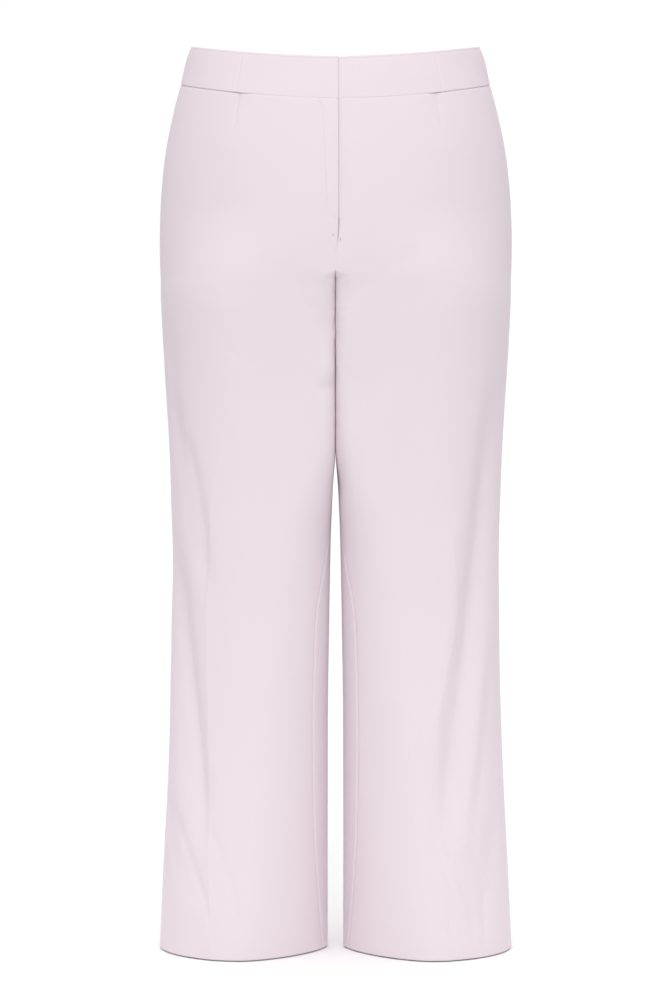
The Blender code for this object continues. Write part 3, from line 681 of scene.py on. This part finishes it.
panels = {
    "wall": 0.55, "allowance": 11.0, "columnStep": 3.3, "columnEase": 1.12, "rowStep": 3.4,
    "upperRows": 64, "forkRows": 33, "forkLean": 0.5,
    "topSteps": (-9.0, -4.0, -1.0, 0.0, 0.5, 1.1, 2.0, 3.4, 5.4),
    "edgeSteps": (0.0, 0.25, 0.6, 1.2, 2.2, 3.6, 5.6),
    "foldSteps": (0.25, 0.6, 1.3, 4.5, 8.0),
    "hemSteps": (0.25, 0.6, 1.3, 5.0, 10.0, 16.0, 22.0, 28.0, 33.0, 37.0, 38.0),
    "dartSteps": (-3.0, -1.8, -0.9, -0.35, 0.0, 0.35, 0.9, 1.8, 3.0),
    "stitchReach": 23.0, "stitchStep": 0.85,
    "seamRoll": (0.75, 1.3), "hemRoll": (0.72, 0.5), "turnedDepth": 1.45, "turnReach": 0.45,
    "waistDip": 0.85, "waistReach": 1.7, "waistTurned": 0.95,
    "dartTip": (4.0, 1.3),  # how fast a dart's line and its hollow deepen above the tip
    "dartLine": 1.1, "dartHollow": (0.7, 9.0), "dartSwell": (0.8, 1.35, 0.35, 20.0),
    "pucker": 0.10, "puckerReach": 4.5, "puckerWaves": (2.6, 17.0, 41.0), "puckerDrift": 1.6,
    "puckerShare": 0.4, "sideShift": 1.7,
    # where the thighs stop touching, and how much the cloth faces inwards where it touches
    "touchEnd": -450.0, "touchFade": 40.0, "touchFacing": 0.84, "touchTurn": 0.12,
    "sewnReach": 0.6, "overMiddle": 0.03, "pressedReach": 6.0,
    "front": {
        "dartShare": {"left": 0.487, "right": 0.455}, "dartLength": 46.0, "dartDepth": 0.9,
        # height and share of the way from the inner edge to the side seam
        "crease": {"left": ((-85.0, 0.487), (-300.0, 0.59), (-590.0, 0.56), (-700.0, 0.455),
                            (-800.0, 0.46), (-880.0, 0.505), (-960.0, 0.53)),
                   "right": ((-85.0, 0.455), (-300.0, 0.59), (-460.0, 0.63), (-560.0, 0.605),
                             (-700.0, 0.59), (-960.0, 0.58))},
        "creaseTop": -380.0, "creaseFade": 120.0, "creaseRise": 1.3, "creaseReach": 8.0,
    },
    "back": {"dartShare": {"left": 0.52, "right": 0.52}, "dartLength": 95.0, "dartDepth": 0.9},
}


def seamX(z):
    return fly["edge"] * smoothstep((z - body["forkFront"]) / (fly["end"] - body["forkFront"]))


def frontEdge(side, z):
    if side == "right":
        edge = -seamX(z)
    else:
        under = smoothstep((z - fly["end"] - fly["underFrom"]) / fly["underFade"])
        edge = seamX(z) - (fly["underlap"] + seamX(z)) * under
    return np.where(z <= body["forkFront"], 0.0, edge)


def rolled(t, roll):
    # how deep the cloth lies at t from a seam or fold; below zero it is turned to the inside
    depth, reach = roll
    turned = depth + (panels["turnedDepth"] - depth) * (1.0 - np.exp(-np.abs(t) / panels["turnReach"]))
    return np.where(t >= 0.0, depth * np.exp(-((t / reach) ** 2)), turned)


def panelGrid(kind, side):
    # flat distance and height of every point of a panel, with its seams' places
    front = kind == "front"
    fork = body["forkFront"] if front else body["forkBack"]

    def edges(z):
        if front:
            return frontEdge(side, z), atLevel(levelSides, z)
        return atLevel(levelLengths, z), atLevel(levelSides, z)

    def dartLine(z):
        inner, outer = edges(z)
        share = panels[kind]["dartShare"][side] * np.ones_like(z)
        if front:
            table = np.array(panels["front"]["crease"][side])
            share = np.interp(-z, -table[:, 0], table[:, 1])
        return inner + (outer - inner) * share

    inner, outer = (float(e) for e in edges(np.array(waistHeight)))
    way = 1.0 if front else -1.0
    width = abs(outer - inner)
    dart = width * panels[kind]["dartShare"][side]
    steps = panels["edgeSteps"]
    if front and side == "right":  # closer columns under the line of stitches beside the fly
        steps = (*steps, *np.arange(steps[-1] + 1.0, panels["stitchReach"], panels["stitchStep"]))
    last, lastOuter, reach = steps[-1], panels["edgeSteps"][-1], panels["dartSteps"][-1]
    # each column is tied to the inner edge (0), the dart's line (1) or the side seam (2), or lies between
    innerCount = int((dart - last - reach) * panels["columnEase"] / panels["columnStep"])
    outerCount = int((width - dart - lastOuter - reach) * panels["columnEase"] / panels["columnStep"])
    columns = [(0, -t) for t in (panels["allowance"], *panels["foldSteps"][::-1])]
    columns += [(0, t) for t in steps]
    columns += [("a", n / innerCount) for n in range(1, innerCount)]
    columns += [(1, t) for t in panels["dartSteps"]]
    columns += [("b", n / outerCount) for n in range(1, outerCount)]
    columns += [(2, -t) for t in panels["edgeSteps"][::-1]]
    columns += [(2, t) for t in (*panels["foldSteps"], panels["allowance"])]

    def across(column, z):
        start, end, line = *edges(z), dartLine(z)
        tied, t = column
        if tied == "a":
            return start + way * last + (line - way * reach - start - way * last) * t
        if tied == "b":
            return line + way * reach + (end - way * lastOuter - line - way * reach) * t
        return (start, line, end)[tied] + way * t

    flatV = []
    for column in columns:
        share = (float(across(column, np.array(waistHeight))) - inner) / (outer - inner)
        share = min(max(share, 0.0), 1.0)
        start = float(waistSeam(waistTurn(np.array(inner + (outer - inner) * share))))
        lean = float(smoothstep(share / panels["forkLean"]))
        end = fork + (body["forkSide"] - fork) * lean
        heights = [start - t for t in panels["topSteps"]]
        first, count = heights[-1], panels["upperRows"]
        heights += [first + (end - first) * n / count for n in range(1, count)]
        for turn in np.linspace(0.0, 1.0, panels["forkRows"]):
            edge = fork + (body["crotch"] - fork) * turn
            heights.append(edge + (body["forkSide"] + (body["crotch"] - body["forkSide"]) * turn - edge) * lean)
        bottom = body["hem"] + panels["edgeSteps"][-1]
        count = int((body["crotch"] - bottom) / panels["rowStep"])
        heights += [body["crotch"] + (bottom - body["crotch"]) * n / count for n in range(1, count)]
        heights += [body["hem"] + t for t in panels["edgeSteps"][::-1]]
        heights += [body["hem"] - t for t in panels["hemSteps"]]
        flatV.append(heights)
    flatV = np.array(flatV).T
    z = np.where(flatV < body["hem"], 2 * body["hem"] - flatV, flatV)
    flatD = np.stack([across(column, z[:, n]) for n, column in enumerate(columns)], axis=1)
    innerAt, outerAt = edges(z)
    return flatD, flatV, z, innerAt, outerAt, dartLine(z), way


def addPanel(kind, side, material):
    flatD, flatV, z, innerAt, outerAt, dartAt, way = panelGrid(kind, side)
    front = kind == "front"
    fork = body["forkFront"] if front else body["forkBack"]
    fromInner, fromSide = (flatD - innerAt) * way, (outerAt - flatD) * way
    fromHem = flatV - body["hem"]
    distance = innerAt + way * np.abs(fromInner)
    distance = outerAt - way * np.abs((outerAt - distance) * way)
    points, outward = skin(distance, z)
    depth = rolled(fromInner, panels["seamRoll"]) + rolled(fromSide, panels["seamRoll"])
    depth += rolled(fromHem, panels["hemRoll"])
    seamRow = panels["topSteps"].index(0.0)
    inner, outer = innerAt[seamRow], outerAt[seamRow]
    share = np.clip((distance[seamRow] - inner) / (outer - inner), 0.0, 1.0)
    seamTop = waistSeam(waistTurn(inner + (outer - inner) * share))
    below = seamTop[None, :] - z
    dip = panels["waistDip"] * seamShare(distance) * np.exp(-((below / panels["waistReach"]) ** 2))
    depth += np.where(below >= 0.0, dip, panels["waistTurned"])
    lift = foldLift(side, points)
    # the dart pulls its line in, and lower down the pressed crease pushes it out
    offLine = distance - dartAt
    shape = panels[kind]
    along = below / shape["dartLength"]
    inDart = np.clip(1.0 - along, 0.0, 1.0)
    lineSoon, hollowSoon = panels["dartTip"]
    line = np.minimum(inDart * lineSoon, 1.0) * np.exp(-np.abs(offLine / panels["dartLine"]))
    lift -= shape["dartDepth"] * line
    hollow, reach = panels["dartHollow"]
    lift -= hollow * smoothstep(inDart * hollowSoon) * np.exp(-((offLine / reach) ** 2))
    swell, at, length, reach = panels["dartSwell"]
    lift += swell * np.exp(-((along - at) / length) ** 2) * np.exp(-((offLine / reach) ** 2))
    if front:
        rise = shape["creaseRise"] * smoothstep((shape["creaseTop"] - z) / shape["creaseFade"])
        lift += rise * np.exp(-np.abs(offLine) / shape["creaseReach"])
    # the sewn seams draw the cloth in and out a little along their length
    short, drift, long = panels["puckerWaves"]
    for t, phase in ((fromInner, 0.0), (fromSide, panels["sideShift"])):
        wave = np.sin(z / short + phase + panels["puckerDrift"] * np.sin(z / drift + phase))
        wave *= 1.0 - panels["puckerShare"] + panels["puckerShare"] * np.sin(z / long)
        lift += panels["pucker"] * wave * np.exp(-np.abs(t) / panels["puckerReach"]) * (np.abs(t) > 0.5)
    if front and side == "right":
        plane = np.stack([distance, z], axis=-1)
        line = np.array([(d, h) for h, d in fly["stitchLine"]])
        away = nearLine(plane, line)[0] / fly["stitchWidth"]
        lift -= fly["stitchSink"] * np.exp(-(away**2)) * (fromInner > 0.0)
    # the thighs touch, down to where the legs part
    touching = smoothstep((z - panels["touchEnd"]) / panels["touchFade"]) * (z < fork)
    touching = touching * smoothstep((-outward[..., 0] - panels["touchFacing"]) / panels["touchTurn"])
    points = points + outward * (lift * (1.0 - touching) - depth)[..., None]
    sewn = np.exp(-((fromInner / panels["sewnReach"]) ** 2)) * (z < fork) * (z > body["crotch"] - 0.5)
    points[..., 0] = points[..., 0] * (1.0 - sewn) - panels["overMiddle"] * sewn
    if front and side == "left":
        steps = np.array(fly["steps"])
        recess = smoothstep((z - fly["flush"]) / (fly["end"] - fly["flush"])) * np.interp(
            distance, steps[:, 0], steps[:, 1])
        points[..., 1] += recess
    points[..., 0] = np.where(z < fork, np.maximum(points[..., 0], -panels["overMiddle"]), points[..., 0])
    if side == "right":
        points, outward = points * mirror, outward * mirror
    near = np.abs(np.stack([fromInner, fromSide, below, fromHem])).min(axis=0)
    pressed = np.exp(-near / panels["pressedReach"])
    flat = np.stack([flatD, flatV], axis=-1)
    name = f"{kind}Panel{side.title()}"
    panel = clothObject(name, points, flat, pressed, outward, panels["wall"], material)
    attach(panel, "trousers")
    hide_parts(f"{kind}_{side}")
    size = (float(np.ptp(flatD)) * mm, float(np.ptp(flatV)) * mm)
    min(gridArea(points), size[0] * size[1])
    print(name, points.shape, "flat", [round(s, 3) for s in size], "area", round(gridArea(points), 4))
    return panel


band = {
    "wall": 0.55, "proud": 0.4, "inside": 1.9, "columnStep": 2.6, "underlap": 24.0,
    "seam": {"left": 114.0, "right": 105.0},
    # steps down under the right front: distance from the middle, depth
    "underlapSteps": ((0.8, 2.4), (3.5, 2.2), (18.0, -0.06), (96.0, -0.06), (113.0, -0.4)),
    "frontSteps": ((0.0, -0.06), (88.0, -0.06), (104.0, -0.4)),
    "endSteps": (0.0, 0.3, 0.8, 1.6, 2.8), "evenFrom": 4.4,
    # depth and reach of the roll at an end, and of what a turned-in end adds
    "endDip": (0.45, 1.2), "shutDip": (0.55, 0.6),
    "swell": 0.35, "swellSize": (60.0, 60.0, 25.0), "swellSeed": 9, "seamReach": 13.0,
    "understitch": 3.2, "groove": (0.30, 0.7), "ripple": 0.05, "ripplePitch": 1.35, "rippleReach": 3.0,
    "pressedReach": 5.0,
}


def bandRows():
    # (share of the height, millimetres above that, share of the way from outer to inner layer)
    rows = [(0.0, 8.0, 0.5), (0.0, 4.0, 0.5), (0.0, 0.9, 0.46), (0.0, 0.15, 0.3), (0.0, 0.1, 0.15),
            (0.0, 0.6, 0.05), (0.0, 1.3, 0.0), (0.0, 2.4, 0.0)]
    rows += [(n / 15, 2.4 * (1 - n / 15) - 4.4 * n / 15, 0.0) for n in range(1, 15)]
    rows += [(1.0, t, 0.0) for t in (-4.4, -3.7, -3.2, -2.7, -2.0, -1.2)]
    rows += [(1.0, -0.5, 0.04), (1.0, -0.12, 0.17), (1.0, 0.0, 0.33), (1.0, 0.04, 0.5), (1.0, 0.0, 0.67),
             (1.0, -0.12, 0.83), (1.0, -0.5, 0.96), (1.0, -1.2, 1.0), (1.0, -2.4, 1.0), (1.0, -3.2, 1.0),
             (1.0, -4.2, 1.0)]
    rows += [(1.0 - n / 14, -4.2 * (1 - n / 14), 1.0) for n in range(1, 14)]
    rows += [(0.0, 0.0, 1.0), (0.0, -2.0, 1.0), (0.0, -3.0, 1.0)]
    return rows


def bandPoints(distances, depths):
    # a length of the waistband over distances measured along its lower edge
    rows = bandRows()
    turn = waistTurn(distances)
    seam, height = waistSeam(turn) + waist["gap"], bandHeight(turn) - waist["gap"]
    z = np.stack([seam + height * share + extra for share, extra, _ in rows])
    layer = np.array([way for _, _, way in rows])[:, None] * np.ones_like(z)
    sides, lengths = atLevel(levelSides, z), atLevel(levelLengths, z)
    at = np.where(turn[None, :] > 0.5, sides + (lengths - sides) * (2.0 * turn[None, :] - 1.0),
                  distances[None, :] * sides / waistSide)
    points, outward = skin(at, z)
    outer = np.interp(distances, depths[:, 0], depths[:, 1])[None, :]
    return points, outward, outer, layer, z


def addBand(name, node, side, start, end, closed, material, depths=((0.0, -band["proud"]),), back=False):
    count = int(abs(end - start) / band["columnStep"])
    steps = np.array(band["endSteps"])
    (endDip, endReach), (shutDip, shutReach) = band["endDip"], band["shutDip"]
    middle = np.linspace(start + band["evenFrom"], end - band["evenFrom"], count)
    distances = np.concatenate([start + steps, middle, end - steps[::-1]])
    parts = []
    for mirrored in ((False, True) if back else (side == "right",)):
        points, outward, outer, layer, z = bandPoints(distances, np.array(depths))
        fromEnd = distances - start if back else np.minimum(distances - start, end - distances)
        dip = endDip * np.exp(-((fromEnd / endReach) ** 2))
        for edge, shut in zip((distances - start, end - distances), closed):
            if shut:
                dip = dip + shutDip * np.exp(-((edge / shutReach) ** 2))
        thickness = band["proud"] + band["inside"]
        depth = outer + layer * thickness + dip[None, :] * (1.0 - 2.0 * layer)
        flip = mirror if mirrored else np.ones(3)
        swell = band["swell"] * softNoise(points * flip, band["swellSize"], band["swellSeed"])
        # at its seam the band follows the swells of the panels
        seamNear = np.exp(-(((z - waistSeam(waistTurn(distances))[None, :]) / band["seamReach"]) ** 2))
        lift = foldLift("right" if mirrored or side == "right" else "left", points)
        swell = swell + (lift - swell) * seamNear
        fromStitches = bandTop(waistTurn(distances))[None, :] - z - band["understitch"]
        groove = band["groove"][0] * np.exp(-((fromStitches / band["groove"][1]) ** 2))
        ripple = band["ripple"] * np.sin(distances / band["ripplePitch"])[None, :]
        ripple = ripple * np.exp(-np.abs(fromStitches) / band["rippleReach"])
        points = points + outward * (swell - depth + (ripple - groove) * (1.0 - 2.0 * layer))[..., None]
        parts.append((points * flip, outward * flip, distances * flip[0]))
    if back:
        points = np.concatenate([parts[0][0], parts[1][0][:, -2::-1]], axis=1)
        outward = np.concatenate([parts[0][1], parts[1][1][:, -2::-1]], axis=1)
        distances = np.concatenate([distances, 2 * end - distances[-2::-1]])
    else:
        points, outward = parts[0][:2]
    down = arcLengths(points[:, points.shape[1] // 2])
    flat = np.stack(np.meshgrid(distances, down), axis=-1)
    fromEnds = np.minimum(distances - distances.min(), distances.max() - distances)
    pressed = np.exp(-fromEnds / band["pressedReach"])[None, :] * np.ones(points.shape[:2])
    outward = outward * np.where(np.array([way for _, _, way in bandRows()]) > 0.5, -1.0, 1.0)[:, None, None]
    piece = clothObject(name, points, flat, pressed, outward, band["wall"], material)
    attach(piece, "trousers")
    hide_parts(node)
    size = (float(np.ptp(distances)) * mm, float(down[-1]) * mm)
    min(gridArea(points), size[0] * size[1])
    print(name, points.shape, "flat", [round(s, 3) for s in size])
    return piece


tapeLook = {
    "colour": (0.70, 0.62, 0.66), "deepColour": (0.62, 0.545, 0.585), "pitch": 0.0007,
    "weaveDepth": 0.00009, "roughness": 0.82, "sheen": 0.05,
}


def behindRight(distance, z, depth):
    # points at a depth below the right front's face, which its folds carry along
    points, outward = skin(distance, z)
    points = points + outward * (foldLift("right", points) - depth)[..., None]
    return points * mirror, outward * mirror


def addStrip(name, node, distances, heights, depths, wall, material):
    table = np.array(depths)
    points, outward = behindRight(distances, heights, np.interp(distances, table[:, 0], table[:, 1]))
    across = arcLengths(points[0])
    across = across / across[-1]
    wide = np.linalg.norm(np.diff(points, axis=1), axis=2).sum(axis=1)
    flat = np.stack([across[None, :] * wide[:, None], heights], axis=-1)
    piece = clothObject(name, points, flat, np.zeros(heights.shape), outward, wall, material)
    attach(piece, "trousers")
    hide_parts(node)
    size = (float(wide.max()) * mm, float(np.ptp(heights)) * mm)
    min(gridArea(points), size[0] * size[1])
    print(name, points.shape, "flat", [round(s, 4) for s in size], "area", round(gridArea(points), 5))


flyFacing = {
    "top": -44.0, "end": -166.5, "edge": 0.4, "wall": 0.45,
    "wide": 30.0, "narrow": 21.0, "curve": 0.80, "toe": 0.15,
    "rows": 34, "columns": 15, "toeRows": 26, "toeFrom": 0.66,
    # distance from the middle towards the wearer's right, and how deep below the face
    "depths": ((0.4, 2.15), (11.2, 2.15), (15.0, 1.6)),
}


def addFacing(material):
    # a J-shaped piece, narrowing down the fly and curving in to its edge at the bottom
    top, edge, curve, toe = (flyFacing[key] for key in ("top", "edge", "curve", "toe"))
    down = np.sort(np.concatenate([
        np.linspace(0.0, curve, flyFacing["rows"]),
        np.sqrt(np.linspace(flyFacing["toeFrom"], 1.0, flyFacing["toeRows"])[1:])]))
    wide = flyFacing["wide"] + (flyFacing["narrow"] - flyFacing["wide"]) * np.minimum(down / curve, 1.0)
    turn = np.clip((down - curve) / (1.0 - curve), 0.0, 1.0)
    wide *= toe + (1.0 - toe) * np.sqrt(1.0 - turn**2)
    distances = edge + (wide[:, None] - edge) * np.linspace(0.0, 1.0, flyFacing["columns"])[None, :]
    heights = (top + (flyFacing["end"] - top) * down)[:, None] * np.ones_like(distances)
    addStrip("flyFacing", "fly_facing", distances, heights, flyFacing["depths"],
             flyFacing["wall"], material)


zipTapes = {
    "top": -57.0, "end": -162.0, "wall": 0.4, "rows": 70, "columns": 14,
    # distance and depth, as for the facing
    "right": ((11.5, 7.5), (13.2, 6.9), (18.0, 2.45), (20.5, 2.25)),
    "left": ((-6.0, 5.1), (-1.0, 5.1), (2.6, 5.9), (4.8, 6.9), (6.5, 7.5)),
}


def addTapes(material):
    for side, rests in (("right", "flyFacing"), ("left", "frontPanelLeft")):
        depths = zipTapes[side]
        distances, heights = np.meshgrid(np.linspace(depths[0][0], depths[-1][0], zipTapes["columns"]),
                                         np.linspace(zipTapes["top"], zipTapes["end"], zipTapes["rows"]))
        addStrip(f"zipTape{side.title()}", f"zip_tape_{side}", distances, heights, depths,
                 zipTapes["wall"], material)


zipCoil = {
    "middle": 9.0, "top": -52.0, "end": -158.0, "depth": 7.9,
    "pitch": 1.3, "reach": 1.15, "shift": 0.78, "height": 0.62, "wire": 0.26, "turnPoints": 12,
}


def addCoil(material):
    # two flattened spirals of nylon wire, half a turn apart, whose loops reach past each other
    turns = (zipCoil["top"] - zipCoil["end"]) / zipCoil["pitch"] - 1.0
    bpy.ops.object.select_all(action="DESELECT")
    for way in (-1.0, 1.0):
        turn = np.linspace(0.0, turns, int(turns * zipCoil["turnPoints"]))
        z = zipCoil["top"] - zipCoil["pitch"] * (turn + (0.5 if way > 0 else 0.0))
        angle = 2.0 * pi * turn
        distance = zipCoil["middle"] + way * (zipCoil["shift"] + zipCoil["reach"] * np.cos(angle))
        points = behindRight(distance, z, zipCoil["depth"] + zipCoil["height"] * np.sin(angle))[0] * mm
        data = bpy.data.curves.new("zipCoil", "CURVE")
        data.dimensions, data.bevel_depth, data.bevel_resolution = "3D", zipCoil["wire"] * mm, 1
        data.use_fill_caps = True
        spline = data.splines.new("POLY")
        spline.points.add(len(points) - 1)
        spline.points.foreach_set("co", np.concatenate([points, np.ones((len(points), 1))], axis=1).ravel())
        data.materials.append(material)
        spiral = intoScene("zipCoil", data)
        spiral.select_set(True)
        bpy.context.view_layer.objects.active = spiral
    bpy.ops.object.convert(target="MESH")
    bpy.ops.object.join()
    coil = bpy.context.active_object
    coil.name = "zipCoil"
    bpy.ops.object.shade_smooth()
    coil.select_set(False)
    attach(coil, "trousers")
    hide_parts("zip_coil")
    print("zipCoil", len(coil.data.polygons), "faces")


sewing = {
    "length": 2.35, "pitch": 2.75, "thread": 0.30, "height": 0.22,
    # a bar tack: middle across, height, how long, stitches in it
    "barTacks": ((2.4, -185.0, 5.0, 9), (-5.2, -189.5, 3.4, 7)),
    "tackSlope": 0.55, "tackWay": (0.9, 0.0, 0.44), "tackStitch": (1.9, 0.42, 0.42), "above": 0.02,
    "ahead": 0.4,  # how far to both sides of a stitch its line's direction is read
}


def evenPlaces(line, pitch):
    # places at an even pitch along a line of points, and the direction there
    along = arcLengths(line)
    at = np.arange(pitch / 2, along[-1], pitch)
    shifts = (0.0, sewing["ahead"], -sewing["ahead"])
    places, ahead, back = (readAlong(at + shift, along, line) for shift in shifts)
    way = ahead - back
    return places, way / np.linalg.norm(way, axis=1, keepdims=True)


def addStitches(name, places, ways, outward, size, material):
    # one stitch, a thread that dips into the cloth at both ends, copied to every place
    bpy.ops.object.select_all(action="DESELECT")
    bpy.ops.mesh.primitive_uv_sphere_add(segments=8, ring_count=6, radius=0.5)
    template = bpy.context.active_object
    shape = np.array([tuple(v.co) for v in template.data.vertices])
    faces = [np.array(tuple(p.vertices)) for p in template.data.polygons]
    bpy.data.objects.remove(template)
    aside = np.cross(ways, outward)
    aside /= np.linalg.norm(aside, axis=1, keepdims=True)
    points = (places[:, None, :] + ways[:, None, :] * shape[None, :, 2:3] * size[0]
              + aside[:, None, :] * shape[None, :, 0:1] * size[1]
              + np.cross(aside, ways)[:, None, :] * shape[None, :, 1:2] * size[2])
    mesh = bpy.data.meshes.new(name)
    quads = [(face + n * len(shape)).tolist() for n in range(len(places)) for face in faces]
    mesh.from_pydata((points.reshape(-1, 3) * mm).tolist(), [], quads)
    mesh.polygons.foreach_set("use_smooth", [True] * len(quads))
    mesh.materials.append(material)
    stitches = intoScene(name, mesh)
    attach(stitches, "trousers")
    print(name, len(places), "stitches")


def addFlySewing(material):
    table = np.array(fly["stitchLine"])
    turn = np.linspace(0.0, len(table) - 1.0, 200)
    heights, distances = readAlong(turn, np.arange(len(table)), table).T
    line, outward = behindRight(distances, heights, np.full(heights.shape, fly["stitchSink"] - 0.05))
    places, ways = evenPlaces(line, sewing["pitch"])
    facing = readAlong(-places[:, 2], -heights, outward)
    size = (sewing["length"], sewing["thread"], sewing["height"])
    addStitches("flyStitches", places, ways, facing, size, material)
    for n, (middle, height, length, count) in enumerate(sewing["barTacks"]):
        spread = np.linspace(-0.5, 0.5, count) * length
        places, facing = behindRight(np.full(count, middle), height + spread * sewing["tackSlope"],
                                     np.full(count, -sewing["above"]))
        ways = np.tile(sewing["tackWay"], (count, 1))
        addStitches(f"barTack.{n}", places, ways, facing, sewing["tackStitch"], material)


def threadMaterial():
    material, wire, shader = newMaterial("sewingThread")
    place = wire.place()
    twist = wire.noise(place, 900.0, 2.0)
    finishShader(wire, shader, {"Base Color": twist.blend((0.60, 0.52, 0.56), (0.72, 0.635, 0.68)),
                                "Roughness": twist * 0.2 + 0.45, "Specular IOR Level": 0.35})
    return material


def zinc():
    # satin plating of the slider and its pull, with fine brushing and small marks
    material, wire, shader = newMaterial("satinZinc")
    place = wire.place()
    marks = wire.noise(place, 700.0, 5.0)
    brushed = wire.node("ShaderNodeMapping", {}, {"Vector": place, "Scale": (9000.0, 400.0, 400.0)}, 0)
    brushed = wire.noise(brushed, 1.0, 2.0)
    bump = wire.node("ShaderNodeBump", {}, {"Strength": 0.25, "Distance": 0.00002, "Height": brushed}, "Normal")
    finishShader(wire, shader, {"Base Color": marks.blend((0.44, 0.43, 0.44), (0.60, 0.585, 0.59)),
                                "Metallic": 1.0, "Roughness": marks * 0.22 + 0.26, "Normal": bump})
    return material


def addFloor():
    material, wire, shader = newMaterial("studioFloor")
    place = wire.place()
    cloudy = wire.noise(place, 3.0, 2.0)
    colour = studio["floorColour"]
    finishShader(wire, shader, {"Base Color": cloudy.blend([c * 0.995 for c in colour], colour),
                                "Roughness": 0.9, "Specular IOR Level": 0.1,
                                "Emission Color": (1.0, 1.0, 1.0, 1.0),
                                "Emission Strength": studio["floorGlow"]})
    bpy.ops.mesh.primitive_plane_add(size=studio["floorSize"], location=(0.0, 0.0, studio["floorHeight"] * mm))
    floor = bpy.context.active_object
    floor.name = "studioFloor"
    bpy.ops.object.transform_apply(location=True, rotation=False, scale=False)
    floor.data.materials.append(material)
    floor.select_set(False)
    print("floor", studio["floorSize"], "m wide")


addCamera()
addLights()
bpy.context.scene.view_settings.view_transform = "Standard"
clothMaterial = suitingMaterial("palePolyesterSuiting", suiting)
for side in ("left", "right"):
    title = side.title()
    lap = -band["underlap"] if side == "left" else -fly["edge"]
    depths = band["underlapSteps" if side == "left" else "frontSteps"]
    addBand(f"waistbandFront{title}", f"waistband_front_{side}", side, lap, band["seam"][side],
            (True, False), clothMaterial, depths)
    addBand(f"waistbandSide{title}", f"waistband_side_{side}", side, band["seam"][side], waistSide,
            (False, False), clothMaterial)
addBand("waistbandBack", "waistband_back", "left", waistSide, waistLength, (False, False), clothMaterial,
        back=True)
for kind in ("front", "back"):
    for side in ("left", "right"):
        addPanel(kind, side, clothMaterial)
tapeMaterial = suitingMaterial("wovenTape", tapeLook)
addFacing(clothMaterial)
addTapes(tapeMaterial)
addCoil(tapeMaterial)
addFlySewing(threadMaterial())
metal = zinc()
for node in ("zip_slider", "zip_pull"):
    for slot in bpy.data.objects[node].material_slots:
        slot.material = metal
addFloor()
